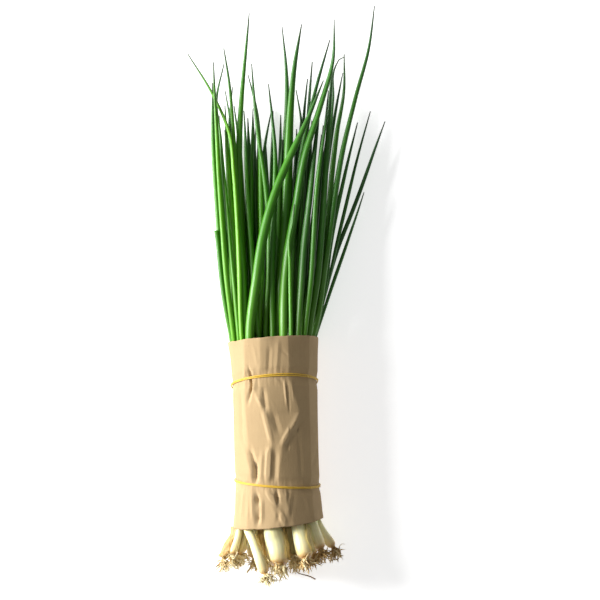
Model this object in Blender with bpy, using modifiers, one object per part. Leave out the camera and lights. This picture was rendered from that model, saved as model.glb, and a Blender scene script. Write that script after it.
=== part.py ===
"""A bunch of scallions in a kraft paper sleeve held by two elastic bands, lying on its side.

The bunch lies along Y, with its leaf tips towards +Y and its roots towards -Y. Z is up, and the
origin is at the middle of the sleeve's flattened underside, on the surface that the bunch lies on.
Sizes are written in millimetres, and MM turns them into metres where an object is made.
"""

import math
from typing import NamedTuple

import bmesh
import bpy
import numpy as np
from mathutils import Vector

MM = 0.001
SEED = 27
GAP = 0.3

# Paper sleeve
PAPER_THICKNESS = 0.8
PAPER_HALF_WIDTH = 31.0
PAPER_TOP_FLARE = 2.0
PAPER_BOTTOM_FLARE = 2.0
PAPER_HALF_HEIGHT = 27.0
PAPER_AXIS_HEIGHT = 24.4
PAPER_LEAN = -0.03
PAPER_MIDDLE_X = 0.5
PAPER_STEPS_ROUND = 32
PAPER_OVERLAP_STEPS = 3
FREE_EDGE_ANGLE = math.radians(40)
WRAP_PITCH = PAPER_THICKNESS + GAP
TOP_FLARE_FROM = 10.0
BOTTOM_FLARE_FROM = -28.0
EVEN_LINES = (-9.0, 11.0)

# Elastic bands
BAND_RADIUS = 0.75
BAND_CLEARANCE = 0.35
BAND_PINCH = 1.3
BAND_DENT_BELOW = 2.0
BAND_DENT_REACH = 6.5
BAND_SIDES = 6

# The oval that holds the stems, narrowed in the sleeve, flat and wide in the fan of leaves
PINCHED_WITHIN = 58.0
PINCH_FADES_OVER = 8.0
OVAL_LIFT = 1.2
OVAL_MARGIN = 1.4
FAN_LENGTH = 230.0
FAN_WIDENS = 75.0
FAN_SINKS = 10.5
FAN_FLATTENS = 11.5
SQUARE_OVER = 100.0
BULBS_SPLAY_FROM = -70.5
BULBS_SPLAY_OVER = 9.0
BULBS_WIDEN = 9.0
BULBS_THICKEN = 2.5
RIGHT_SPLAYS_OVER = 8.0
RIGHT_SPLAY = 2.5
SLEEVE_MARGIN = 6.0

# The lowest leaves, which lie on the surface
LET_DOWN_FROM = 70.0
LET_DOWN_OVER = 70.0
LIES_WITHIN = 4.0

# Scallions
NECK_BOTTOM = 0.0
NECK_TOP = 14.0
SEAM_REACH = 4.0
SHANK_POINTS = 8
LEAF_FOOT = 4.0
LEAF_EXIT = 12.0
LEAF_POINTS_ABOVE_SLEEVE = 7
LEAF_SIDES = 6
SHANK_SIDES = 8
TIP_RADIUS = 0.45
NECK_TAPER = 0.82
LEAF_FOOT_IN_NECK = 0.72
MOST_LEAVES_IN_TURN = (2, 3, 4)
MOUTH_SQUEEZE = 0.85

# Leaves that the others hide, each drawn between two values
HIDDEN_LEAVES = 18
HIDDEN_FOOT_X = (-27.0, 26.0)
HIDDEN_TIP_Y = (204.0, 226.0)
HIDDEN_WIDTH = (4.2, 5.4)
HIDDEN_SPREAD = (1.2, 1.45)
HIDDEN_LEAN = (-1.0, 3.0)
HIDDEN_DEPTHS = (0.60, 0.79, 0.98)

# Roots
ROOTS_A_PLANT = 5
ROOT_RADIUS = 0.65
ROOT_SIDES = 4
ROOT_TAPER = (1.15, 1.0, 0.85, 0.6)
ROOT_WAY = ((0.0, 0.3), (0.35, 0.75), (0.7, 1.0), (1.0, 0.9))
ROOT_PLATE_DEPTH = 2.4
ROOT_PLATE_TAPER = 0.6
ROOT_START = 0.6
ROOT_CURL = 0.6
BEARD_LENGTH = 12.0
BEARD_LEAN = 0.25

# How strands that touch are moved apart
CONTACT_SPACING = 3.0
PULL_BACK = 0.06
PULL_ENDS_AT = 0.7
EVENING = 0.12
STEP_SHARE = 0.7
SHANK_ROUNDS = 500
LEAF_ROUNDS = 700
SISTERS_PART_AT = 40.0
OTHERS_PART_AT = 15.0
SHANK_GIVE = (1.0, 1.0)
LEAF_GIVE = (0.6, 1.4)

COLOURS = {
    "paper": ((0.56, 0.40, 0.22), 0.85),
    "band": ((0.72, 0.42, 0.04), 0.45),
    "shank": ((0.84, 0.84, 0.66), 0.35),
    "leaf": ((0.05, 0.20, 0.02), 0.40),
    "root": ((0.62, 0.45, 0.22), 0.80),
}


class Rim(NamedTuple):
    """A line round the sleeve: its height along Y, and how far it leans sideways and to the top."""

    along: float
    sideways: float
    topwards: float


BOTTOM_EDGE = Rim(-63.0, 3.5, -2.7)
LOWER_BAND = Rim(-35.5, -1.9, -1.9)
UPPER_BAND = Rim(34.0, 1.8, 6.4)
TOP_EDGE = Rim(64.0, 2.1, 3.1)
RIMS = (BOTTOM_EDGE, LOWER_BAND, UPPER_BAND, TOP_EDGE)


class Leaf(NamedTuple):
    """A leaf: its widest part, how deep it lies in the fan (0 top, 1 bottom), and its way (x, y)."""

    width: float
    depth: float
    way: tuple


class Plant(NamedTuple):
    """A scallion: its place at the sleeve's lower edge, its bulb's end and widest radius, and depth."""

    edge_x: float
    base_x: float
    base_y: float
    bulb: float
    shank: float
    depth: float


LEAVES = (
    Leaf(4.0, 0.38, ((-32, 62), (-37.1, 103), (-41.3, 141))),
    Leaf(3.3, 0.52, ((-31, 64), (-39, 134), (-43.4, 197), (-44.5, 245))),
    Leaf(4.0, 0.20, ((-29, 66), (-36.1, 134), (-41, 210), (-43.4, 259))),
    Leaf(2.6, 0.30, ((-28, 66), (-31.5, 136), (-36.8, 180))),
    Leaf(3.2, 0.25, ((-26, 66), (-34.7, 162), (-39.6, 218), (-41.3, 239), (-35.7, 258))),
    Leaf(3.2, 0.22, ((-22.8, 67), (-27.7, 162), (-34, 215), (-44.5, 237), (-61.7, 265))),
    Leaf(4.2, 0.34, ((-23.5, 65), (-29.8, 140), (-33.6, 194), (-35.6, 229))),
    Leaf(3.8, 0.25, ((-20.7, 67), (-27.7, 169), (-31.2, 232), (-36.4, 269))),
    Leaf(5.0, 0.34, ((-19.5, 66), (-24.2, 138), (-25.9, 190), (-23.5, 236), (-18.6, 294))),
    Leaf(3.8, 0.30, ((-13, 67), (-19.3, 162), (-21.4, 208), (-22.4, 225))),
    Leaf(7.2, 0.00, ((-19.5, 66), (-12.6, 115), (-5.6, 151), (8, 187), (19, 210), (37, 246))),
    Leaf(4.2, 0.34, ((-11.6, 66), (-10.2, 97), (-9.8, 160), (-13.5, 226), (-19.3, 251))),
    Leaf(3.6, 0.30, ((-6.7, 67), (-3.9, 127), (-6, 162), (-12.6, 211), (-16.8, 258))),
    Leaf(4.2, 0.28, ((-1.8, 66), (-2.7, 115), (-0.4, 197), (-4.9, 244))),
    Leaf(7.0, 0.32, ((1.8, 66), (6.7, 141), (9.5, 204), (12.8, 252), (18.1, 286))),
    Leaf(
        5.8, 0.03, ((6, 66), (7.5, 115), (15.6, 165), (19.5, 190), (27, 215), (38.5, 250), (41.2, 289))
    ),
    Leaf(2.6, 0.05, ((10.4, 66), (10.9, 113), (15.1, 159))),
    Leaf(5.2, 0.08, ((18.4, 66), (18.7, 118), (23.5, 162), (29.4, 215), (31.2, 232))),
    Leaf(4.2, 0.10, ((23.5, 66), (25.6, 117), (29.8, 180), (34.7, 215), (37.1, 239))),
    Leaf(4.5, 0.20, ((26.6, 66), (32.6, 141), (36.3, 204), (39.9, 259))),
    Leaf(4.2, 0.35, ((28, 66), (35.4, 119), (40.3, 187), (46.2, 229), (49.6, 250), (48, 265))),
    Leaf(4.0, 0.30, ((29.5, 66), (38, 134), (45, 186), (55, 230), (64.3, 263), (69.4, 299))),
    Leaf(2.6, 0.50, ((30, 66), (41.5, 149), (51, 190), (57.5, 217))),
    Leaf(2.4, 0.60, ((30, 66), (40.5, 118), (51.5, 168), (66.5, 225))),
    Leaf(2.6, 0.70, ((31, 66), (41.5, 119), (59, 168), (77, 218))),
    Leaf(2.2, 0.50, ((32, 66), (42.8, 106), (57, 141), (64, 168))),
    Leaf(3.0, 0.60, ((-22, 66), (-32.6, 224), (-35.7, 240))),
    Leaf(2.6, 0.60, ((-20, 66), (-26.6, 210), (-29.2, 229))),
    Leaf(3.0, 0.50, ((-14, 66), (-17.2, 187), (-15.8, 227))),
    Leaf(3.0, 0.60, ((-10, 66), (-14.4, 201), (-13.7, 213))),
    Leaf(3.2, 0.60, ((-5, 66), (-9.5, 187), (-3.2, 224))),
    Leaf(4.2, 0.52, ((4, 66), (6, 183), (8.1, 239), (4.6, 285))),
    Leaf(3.4, 0.55, ((12, 66), (18.6, 211), (14.4, 240))),
    Leaf(3.0, 0.60, ((13, 66), (20, 222), (22.5, 248))),
    Leaf(3.2, 0.55, ((15, 66), (22.5, 220), (25.9, 260))),
    Leaf(4.2, 0.40, ((10, 66), (17.2, 190), (28.7, 241), (37.9, 275))),
    Leaf(3.0, 0.50, ((20, 66), (39.5, 225), (41.3, 246), (43.5, 259))),
    Leaf(3.2, 0.60, ((22, 66), (39.6, 211), (47.3, 252))),
    Leaf(4.0, 0.45, ((-25, 66), (-31, 160), (-32, 225), (-30, 242))),
    Leaf(4.6, 0.62, ((-26, 66), (-34, 130), (-39, 190), (-39.5, 222))),
    Leaf(4.6, 0.68, ((-21, 66), (-28, 120), (-33.5, 185), (-36, 212))),
    Leaf(4.8, 0.48, ((-3, 66), (0.5, 120), (3.5, 170), (5, 205))),
    Leaf(4.6, 0.45, ((20, 66), (25.5, 120), (30.5, 175), (33.5, 215))),
)

PLANTS = (
    Plant(-32, -37.5, -88, 3.2, 2.6, 0.45),
    Plant(-27, -31.5, -85, 2.8, 2.4, 0.27),
    Plant(-25, -28, -85, 2.4, 2.0, 0.50),
    Plant(-27, -3.5, -97.5, 3.9, 3.2, 0.00),
    Plant(-10, -8.5, -84, 3.4, 2.8, 0.34),
    Plant(-2.5, 5, -92, 8.0, 5.0, 0.02),
    Plant(8, 12, -84, 4.2, 3.4, 0.28),
    Plant(14.5, 21.5, -87, 6.2, 4.2, 0.05),
    Plant(25.5, 31, -81, 4.8, 3.4, 0.22),
    Plant(31, 39.5, -80, 3.5, 2.8, 0.42),
    Plant(-24, -26, -84, 4.6, 3.2, 0.78),
    Plant(-14, -17, -88, 5.0, 3.4, 0.62),
    Plant(-12, -12, -82, 4.8, 3.4, 0.96),
    Plant(-2, -3, -86, 5.0, 3.4, 0.66),
    Plant(2, 2, -92, 5.2, 3.5, 0.98),
    Plant(11, 12, -88, 5.2, 3.5, 0.64),
    Plant(15, 16, -82, 4.8, 3.4, 0.97),
    Plant(22, 26, -85, 5.0, 3.4, 0.72),
)


def sleeve_half_width(y):
    """Half the paper's width at y: a straight middle that opens a little towards both ends."""
    top = np.clip((y - TOP_FLARE_FROM) / (TOP_EDGE.along - TOP_FLARE_FROM), 0, 1)
    bottom = np.clip((BOTTOM_FLARE_FROM - y) / (BOTTOM_FLARE_FROM - BOTTOM_EDGE.along), 0, 1)
    return PAPER_HALF_WIDTH + PAPER_TOP_FLARE * top**2 + PAPER_BOTTOM_FLARE * bottom**2


def bundle_section(y):
    """The oval that holds the stems at y: middle x, middle z, half-width and half-height."""
    fan = np.clip((y - TOP_EDGE.along) / FAN_LENGTH, 0, 1)
    splay = np.clip((BULBS_SPLAY_FROM - y) / BULBS_SPLAY_OVER, 0, 1)
    splay_right = np.clip((BOTTOM_EDGE.along - y) / RIGHT_SPLAYS_OVER, 0, 1)
    pinched = np.clip((PINCHED_WITHIN - np.abs(y)) / PINCH_FADES_OVER, 0, 1)
    inner_left = PAPER_THICKNESS + 0.5 * WRAP_PITCH + BAND_PINCH * pinched + 2 * GAP
    inner_right = inner_left + 0.85 * WRAP_PITCH
    wrap_shift = (inner_left - inner_right) / 2
    held = 1 - fan
    middle_x = PAPER_MIDDLE_X + (PAPER_LEAN * y + wrap_shift) * held + RIGHT_SPLAY * splay_right
    middle_z = PAPER_AXIS_HEIGHT + OVAL_LIFT * held - FAN_SINKS * fan
    half_width = sleeve_half_width(y) - (inner_left - wrap_shift) * held * (1 - splay)
    half_width = half_width + FAN_WIDENS * fan + RIGHT_SPLAY * splay_right + BULBS_WIDEN * splay
    half_height = PAPER_HALF_HEIGHT - OVAL_MARGIN - inner_right * held
    half_height = half_height - FAN_FLATTENS * fan + BULBS_THICKEN * splay
    return middle_x, middle_z, half_width, half_height


def floor_at(y):
    """Lowest z that a stem may reach at y: above the paper and its dents, or just off the surface."""
    in_sleeve = (y > BOTTOM_EDGE.along - SLEEVE_MARGIN) & (y < TOP_EDGE.along + SLEEVE_MARGIN)
    return np.where(in_sleeve, PAPER_THICKNESS + BAND_DENT_BELOW + GAP, GAP)


def height_for(x, y, radius, depth):
    """Height of a stem that lies at depth (0 top, 1 bottom) in the bundle's oval at (x, y)."""
    middle_x, middle_z, half_width, half_height = bundle_section(y)
    across = np.abs(np.clip((x - middle_x) / half_width, -0.97, 0.97))
    squareness = 2 + 1.5 * np.clip((y - TOP_EDGE.along) / SQUARE_OVER, 0, 1)
    reach = half_height * (1 - across**squareness) ** (1 / squareness)
    top = middle_z + reach - radius
    bottom = np.maximum(middle_z - reach, floor_at(y)) + radius
    return top + depth * (bottom - top)


def leaf_radius(share, width):
    """A leaf's radius at a share of its length: a little slim at its foot, then tapered to its tip."""
    foot = 0.82 + 0.18 * np.clip(share / 0.35, 0, 1)
    fall = np.clip((share - 0.42) / 0.58, 0, 1) ** 2.1
    full = width / 2 * foot
    return full * (1 - fall) + TIP_RADIUS * fall


def shank_radius(y, plant):
    """A scallion's radius at y: its root beard, its rounded bulb, and its shank up to the neck."""
    above = y - plant.base_y
    rise = np.clip(above / (plant.bulb * 1.1), 0, 1)
    round_end = 0.45 + 0.55 * np.sqrt(1 - (1 - rise) ** 2)
    swell = np.exp(-(np.maximum(above - plant.bulb * 1.3, 0) / (plant.bulb * 2.3)) ** 2)
    body = plant.shank + (plant.bulb - plant.shank) * swell
    beard = 1.5 + 0.62 * plant.bulb
    return np.where(above < -0.1, beard, body * round_end)


def smooth_way(heights, way):
    """Places across at some heights on a smooth curve through a way's points (x, y)."""
    x, y = np.array(way).T
    runs = np.diff(x) / np.diff(y)
    slopes = np.concatenate([runs[:1], (runs[:-1] + runs[1:]) / 2, runs[-1:]])
    part = np.clip(np.searchsorted(y, heights) - 1, 0, len(y) - 2)
    span = np.diff(y)[part]
    share = np.clip((heights - y[part]) / span, -0.5, 1)
    start = x[part] * (1 + 2 * share) * (1 - share) ** 2 + x[part + 1] * share**2 * (3 - 2 * share)
    turn = slopes[part] * share * (1 - share) ** 2 - slopes[part + 1] * share**2 * (1 - share)
    return start + span * turn


def blend_weights(levels, heights):
    """For each level, how much of each of a strand's points makes its place there; 0 off the strand."""
    weights = np.zeros((len(levels), len(heights)))
    for row, level in enumerate(levels):
        if heights[0] <= level <= heights[-1]:
            upper = int(np.clip(np.searchsorted(heights, level), 1, len(heights) - 1))
            share = (level - heights[upper - 1]) / (heights[upper] - heights[upper - 1])
            weights[row, upper - 1] = 1 - share
            weights[row, upper] = share
    return weights


def settle(heights, wanted, radii_at, apart_from, pinned, give, rounds):
    """Moves strands until none touch, near the wanted (x, z) of their points.

    heights and wanted hold each strand's points; radii_at gives a strand's radii at some levels;
    apart_from holds, for each pair, the height above which the two keep apart; pinned points stay.
    give is how readily a strand that another pushes moves along x and along z.
    """
    levels = np.arange(heights.min(), heights.max() + CONTACT_SPACING, CONTACT_SPACING)
    weights = np.stack([blend_weights(levels, row) for row in heights])
    present = weights.sum(axis=2) > 0
    radii = np.stack([radii_at(k, levels) for k in range(len(heights))])
    share = weights.sum(axis=1)[:, :, None] + 1e-6
    pair_on = present[:, None, :] & present[None, :, :] & (levels > apart_from[:, :, None])
    middle_x, middle_z, half_width, half_height = bundle_section(levels)
    floor = floor_at(levels)
    places = wanted.copy()
    free = (~pinned)[:, :, None]
    for turn in range(rounds):
        pull = PULL_BACK * max(0.0, 1 - turn / (PULL_ENDS_AT * rounds))
        places += free * pull * (wanted - places) / give
        moved_off = places - wanted
        uneven = 0.5 * (moved_off[:, :-2] + moved_off[:, 2:]) - moved_off[:, 1:-1]
        places[:, 1:-1] += free[:, 1:-1] * min(pull * 3, EVENING) * uneven
        at = np.einsum("kln,knc->klc", weights, places)
        slope = np.gradient(at, levels, axis=1)
        slope = np.where(present[:, :, None], slope, 0).clip(-1, 1)
        thick = radii * np.sqrt(1 + (slope**2).sum(axis=2))
        away = at[:, None] - at[None, :]
        far = np.sqrt((away**2).sum(axis=3)) + 1e-9
        short = thick[:, None] + thick[None, :] + 2 * GAP - far
        short = np.where(pair_on & (short > 0), short, 0)
        push = 0.5 * (away / far[..., None] * short[..., None]).sum(axis=1) * give
        off_x = at[:, :, 0] - middle_x
        off_z = at[:, :, 1] - middle_z
        out = np.hypot(off_x / (half_width - thick), off_z / (half_height - thick))
        back = np.where((out > 1) & present, 1 / np.maximum(out, 1) - 1, 0)
        push[:, :, 0] += back * off_x
        push[:, :, 1] += back * off_z
        sunk = np.where(present, np.maximum(floor + thick - at[:, :, 1], 0), 0)
        push[:, :, 1] += sunk
        moved = np.einsum("kln,klc->knc", weights, push) / share
        places += free * STEP_SHARE * moved
    return places


def plant_layout():
    """Each scallion's points from its root beard to its neck, settled beside its neighbours."""
    heights = []
    wanted = []
    for plant in PLANTS:
        beard_end = plant.base_y - BEARD_LENGTH
        upward = np.linspace(0, 1, SHANK_POINTS) ** 1.35
        below_seam = plant.base_y + upward * (-SEAM_REACH - plant.base_y)
        own = np.concatenate([[beard_end], below_seam, [SEAM_REACH, NECK_TOP]])
        edge = BOTTOM_EDGE.along
        x = np.interp(own, (plant.base_y, edge, NECK_TOP), (plant.base_x, plant.edge_x, plant.edge_x))
        x += np.where(own > edge, PAPER_LEAN * (own - edge), 0)
        x[0] = x[1] + BEARD_LEAN * (x[1] - x[3])
        radius = shank_radius(own, plant)
        heights.append(own)
        wanted.append(np.stack([x, height_for(x, own, radius, plant.depth)], axis=1))
    heights = np.stack(heights)
    count = len(PLANTS)
    always = np.full((count, count), -np.inf)
    np.fill_diagonal(always, np.inf)
    pinned = np.zeros(heights.shape, bool)

    def radii_at(k, levels):
        return shank_radius(levels, PLANTS[k])

    give = np.array(SHANK_GIVE)
    return heights, settle(heights, np.stack(wanted), radii_at, always, pinned, give, SHANK_ROUNDS)


def all_leaves():
    """The leaves that show and, below them, the hidden ones, placed by a seeded rule."""
    draw = np.random.default_rng(SEED)
    leaves = list(LEAVES)
    left, right = HIDDEN_FOOT_X
    mouth_y = TOP_EDGE.along + 2
    for number in range(HIDDEN_LEAVES):
        foot_x = left + (right - left) * (number + draw.uniform(0.2, 0.8)) / HIDDEN_LEAVES
        tip_y = draw.uniform(*HIDDEN_TIP_Y)
        tip_x = foot_x * draw.uniform(*HIDDEN_SPREAD) + draw.uniform(*HIDDEN_LEAN)
        middle = (0.55 * foot_x + 0.45 * tip_x, (mouth_y + tip_y) / 2)
        way = ((foot_x, mouth_y), middle, (tip_x, tip_y))
        leaves.append(Leaf(draw.uniform(*HIDDEN_WIDTH), HIDDEN_DEPTHS[number % 3], way))
    return leaves


def share_out(leaves, necks):
    """The scallion that each leaf grows from: the nearest one that can still take a leaf."""
    feet = []
    for leaf in leaves:
        x, y = leaf.way[0]
        foot_x = MOUTH_SQUEEZE * x
        feet.append((foot_x, height_for(foot_x, y, leaf.width / 2, leaf.depth)))
    far = np.hypot(*(np.array(feet)[:, None] - necks[None]).transpose(2, 0, 1))
    owner = np.full(len(leaves), -1)
    for most in MOST_LEAVES_IN_TURN:
        taken = np.bincount(owner[owner >= 0], minlength=len(necks))
        for flat in np.argsort(far, axis=None, kind="stable"):
            leaf, plant = np.unravel_index(flat, far.shape)
            if owner[leaf] < 0 and taken[plant] < most:
                owner[leaf] = plant
                taken[plant] += 1
    return owner


def leaf_layout(plant_heights, plant_places):
    """Each leaf's points from inside its neck to its tip, settled beside its neighbours."""
    leaves = all_leaves()
    necks = plant_places[:, -1]
    owner = share_out(leaves, necks)
    heights = []
    wanted = []
    for leaf, plant in zip(leaves, owner):
        mouth_y = leaf.way[0][1]
        upward = np.linspace(0, 1, LEAF_POINTS_ABOVE_SLEEVE) ** 0.8
        above = mouth_y + upward * (leaf.way[-1][1] - mouth_y)
        own = np.concatenate([(LEAF_FOOT, LEAF_EXIT, (NECK_TOP + mouth_y) / 2), above])
        x = smooth_way(np.maximum(own, mouth_y), leaf.way)
        z = height_for(x, own, leaf_radius(0, leaf.width), leaf.depth)
        in_sleeve = np.clip((own - NECK_TOP) / (mouth_y - NECK_TOP), 0, 1)
        x = necks[plant, 0] + in_sleeve * (x - necks[plant, 0])
        z = necks[plant, 1] + in_sleeve * (z - necks[plant, 1])
        neck_line = plant_heights[plant], plant_places[plant]
        for point in range(2):
            x[point] = np.interp(own[point], neck_line[0], neck_line[1][:, 0])
            z[point] = np.interp(own[point], neck_line[0], neck_line[1][:, 1])
        heights.append(own)
        wanted.append(np.stack([x, z], axis=1))
    heights = np.stack(heights)
    same = owner[:, None] == owner[None, :]
    apart_from = np.where(same, SISTERS_PART_AT, OTHERS_PART_AT)
    np.fill_diagonal(apart_from, np.inf)
    pinned = np.zeros(heights.shape, bool)
    pinned[:, :2] = True

    def radii_at(k, levels):
        foot = heights[k, 1]
        return leaf_radius(np.clip((levels - foot) / (heights[k, -1] - foot), 0, 1), leaves[k].width)

    give = np.array(LEAF_GIVE)
    places = settle(heights, np.stack(wanted), radii_at, apart_from, pinned, give, LEAF_ROUNDS)
    return leaves, owner, heights, places


def clear_scene():
    """Removes every object that the file opened with."""
    for obj in list(bpy.data.objects):
        bpy.data.objects.remove(obj, do_unlink=True)


def make_material(name):
    """A Principled material of one of the object's colours."""
    colour, roughness = COLOURS[name]
    material = bpy.data.materials.new(name)
    material.use_nodes = True
    shader = material.node_tree.nodes["Principled BSDF"]
    shader.inputs["Base Color"].default_value = (*colour, 1.0)
    shader.inputs["Roughness"].default_value = roughness
    shader.inputs["Metallic"].default_value = 0.0
    return material


def make_collection(name):
    """A collection under the scene's own."""
    collection = bpy.data.collections.new(name)
    bpy.context.scene.collection.children.link(collection)
    return collection


def tube(name, collection, points, radii, sides, closed=False):
    """A tapered tube through points in millimetres, as a mesh object whose ends are welded shut."""
    curve = bpy.data.curves.new(name, "CURVE")
    curve.dimensions = "3D"
    curve.bevel_depth = MM
    curve.bevel_resolution = sides // 2 - 2
    curve.use_fill_caps = not closed
    spline = curve.splines.new("POLY")
    spline.points.add(len(points) - 1)
    spline.use_cyclic_u = closed
    for knot, place, radius in zip(spline.points, points, radii):
        knot.co = (*(Vector(place) * MM), 1.0)
        knot.radius = radius
    guide = bpy.data.objects.new(name + "_guide", curve)
    collection.objects.link(guide)
    bpy.context.view_layer.update()
    evaluated = guide.evaluated_get(bpy.context.evaluated_depsgraph_get())
    mesh = bpy.data.meshes.new_from_object(evaluated)
    shape = bmesh.new()
    shape.from_mesh(mesh)
    bmesh.ops.remove_doubles(shape, verts=shape.verts, dist=0.00001)
    bmesh.ops.recalc_face_normals(shape, faces=shape.faces)
    shape.to_mesh(mesh)
    shape.free()
    made = bpy.data.objects.new(name, mesh)
    made.matrix_world = guide.matrix_world
    bpy.data.objects.remove(guide, do_unlink=True)
    bpy.data.curves.remove(curve)
    collection.objects.link(made)
    return made


def finish(obj, material):
    """Gives a node its material and shades it smooth, apart from its sharp edges."""
    obj.data.materials.clear()
    obj.data.materials.append(material)
    obj.data.shade_smooth()
    obj.data.set_sharp_from_angle(angle=math.radians(50))


def fuse(base, branches):
    """Joins the branches' objects to the base in one union, and removes them."""
    union = base.modifiers.new("grown_together", "BOOLEAN")
    union.operation = "UNION"
    union.operand_type = "COLLECTION"
    union.collection = branches
    union.solver = "EXACT"
    bpy.context.view_layer.update()
    evaluated = base.evaluated_get(bpy.context.evaluated_depsgraph_get())
    joined = bpy.data.meshes.new_from_object(evaluated)
    base.modifiers.clear()
    base.data = joined
    for branch in list(branches.objects):
        bpy.data.objects.remove(branch, do_unlink=True)
    bpy.data.collections.remove(branches)


def rim_lean(along):
    """How far a line round the sleeve leans at a height, between its edges and bands."""
    heights = [rim.along for rim in RIMS]
    sideways = np.interp(along, heights, [rim.sideways for rim in RIMS])
    topwards = np.interp(along, heights, [rim.topwards for rim in RIMS])
    return sideways, topwards


def sleeve_point(angle, along, outward=0.0):
    """A point of the paper's middle surface, or outward of it, at an angle of the wrap."""
    sideways, topwards = rim_lean(along)
    y = along + sideways * math.cos(angle) + topwards * math.sin(angle)
    turned = (angle - FREE_EDGE_ANGLE) / (2 * math.pi)
    near_band = min(abs(along - LOWER_BAND.along), abs(along - UPPER_BAND.along))
    pinch = max(0.0, 1 - near_band / BAND_DENT_REACH)
    inset = PAPER_THICKNESS / 2 + WRAP_PITCH * turned + BAND_PINCH * pinch - outward
    x = PAPER_MIDDLE_X + PAPER_LEAN * y + (sleeve_half_width(y) - inset) * math.cos(angle)
    z = PAPER_AXIS_HEIGHT + (PAPER_HALF_HEIGHT - inset) * math.sin(angle)
    lowest = PAPER_THICKNESS / 2 + BAND_DENT_BELOW * pinch - outward
    return x, y, max(z, lowest)


def make_sleeve(collection, material):
    """The paper: a sheet wrapped once round the stems, its free edge lapping over on the right."""
    lines = []
    for band in (LOWER_BAND, UPPER_BAND):
        lines += [band.along - BAND_DENT_REACH, band.along, band.along + BAND_DENT_REACH]
    lines += [BOTTOM_EDGE.along, *EVEN_LINES, TOP_EDGE.along]
    lines.sort()
    step = 2 * math.pi / PAPER_STEPS_ROUND
    turns = [FREE_EDGE_ANGLE + k * step for k in range(PAPER_STEPS_ROUND + PAPER_OVERLAP_STEPS + 1)]
    sheet = bmesh.new()
    rows = []
    for along in lines:
        rows.append([sheet.verts.new(Vector(sleeve_point(turn, along)) * MM) for turn in turns])
    for low, high in zip(rows, rows[1:]):
        for k in range(len(turns) - 1):
            sheet.faces.new((low[k], low[k + 1], high[k + 1], high[k]))
    bmesh.ops.recalc_face_normals(sheet, faces=sheet.faces)
    mesh = bpy.data.meshes.new("paper_sleeve")
    sheet.to_mesh(mesh)
    sheet.free()
    sleeve = bpy.data.objects.new("paper_sleeve", mesh)
    collection.objects.link(sleeve)
    thicken = sleeve.modifiers.new("paper_thickness", "SOLIDIFY")
    thicken.thickness = PAPER_THICKNESS * MM
    thicken.offset = 0.0
    thicken.use_even_offset = True
    finish(sleeve, material)


def make_band(name, rim, collection, material):
    """An elastic band: a closed ring that follows the paper a hair's breadth outside it."""
    step = 2 * math.pi / PAPER_STEPS_ROUND
    outward = PAPER_THICKNESS / 2 + BAND_CLEARANCE + BAND_RADIUS
    turns = [FREE_EDGE_ANGLE + k * step for k in range(PAPER_STEPS_ROUND)]
    points = [sleeve_point(turn, rim.along, outward) for turn in turns]
    band = tube(name, collection, points, [BAND_RADIUS] * len(points), BAND_SIDES, closed=True)
    finish(band, material)


def along_strand(heights, places, levels):
    """Points (x, y, z) of a strand at some levels."""
    x = np.interp(levels, heights, places[:, 0])
    z = np.interp(levels, heights, places[:, 1])
    return [(float(px), float(py), float(pz)) for px, py, pz in zip(x, levels, z)]


def make_shank(name, plant, heights, places, collection, material):
    """The white bulb and its shank, up to where the green neck begins."""
    rounded = plant.base_y + plant.bulb * np.array((0.0, 0.25, 0.7, 1.5, 2.6, 4.2))
    levels = np.concatenate([rounded, (-42.0, -20.0, NECK_BOTTOM - 3, NECK_BOTTOM - GAP)])
    points = along_strand(heights, places, levels)
    shank = tube(name, collection, points, shank_radius(levels, plant), SHANK_SIDES)
    finish(shank, material)


def make_leaves(name, plant, neck, grown, collection, material):
    """The green neck with the leaves that grow out of it, fused in one body."""
    levels = np.array((NECK_BOTTOM + GAP, NECK_BOTTOM + 3, NECK_TOP))
    radii = plant.shank * np.array((1.0, 1.0, NECK_TAPER))
    base = tube(name, collection, along_strand(*neck, levels), radii, SHANK_SIDES)
    branches = make_collection(name + "_branches")
    for number, (leaf, heights, places) in enumerate(grown):
        foot = heights[1]
        share = np.clip((heights - foot) / (heights[-1] - foot), 0, 1)
        points = along_strand(heights, places, heights)
        radii = leaf_radius(share, leaf.width)
        radii[:2] = min(radii[1], LEAF_FOOT_IN_NECK * plant.shank)
        tube(f"{name}_{number}", branches, points, radii, LEAF_SIDES)
    fuse(base, branches)
    finish(base, material)
    return base


def let_down(sheaves):
    """Lets the fan down under its weight, until its lowest leaves lie on the surface."""
    fan_from = (LET_DOWN_FROM + LET_DOWN_OVER) * MM
    lows = {}
    for sheaf in sheaves:
        lows[sheaf] = min((v.co.z for v in sheaf.data.vertices if v.co.y > fan_from), default=1.0)
    shared = min(lows.values())
    for sheaf, low in lows.items():
        drop = low if low < LIES_WITHIN * MM else shared
        for vertex in sheaf.data.vertices:
            ramp = (vertex.co.y / MM - LET_DOWN_FROM) / LET_DOWN_OVER
            ramp = min(max(ramp, 0.0), 1.0)
            vertex.co.z -= drop * ramp * ramp * (3 - 2 * ramp)


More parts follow.
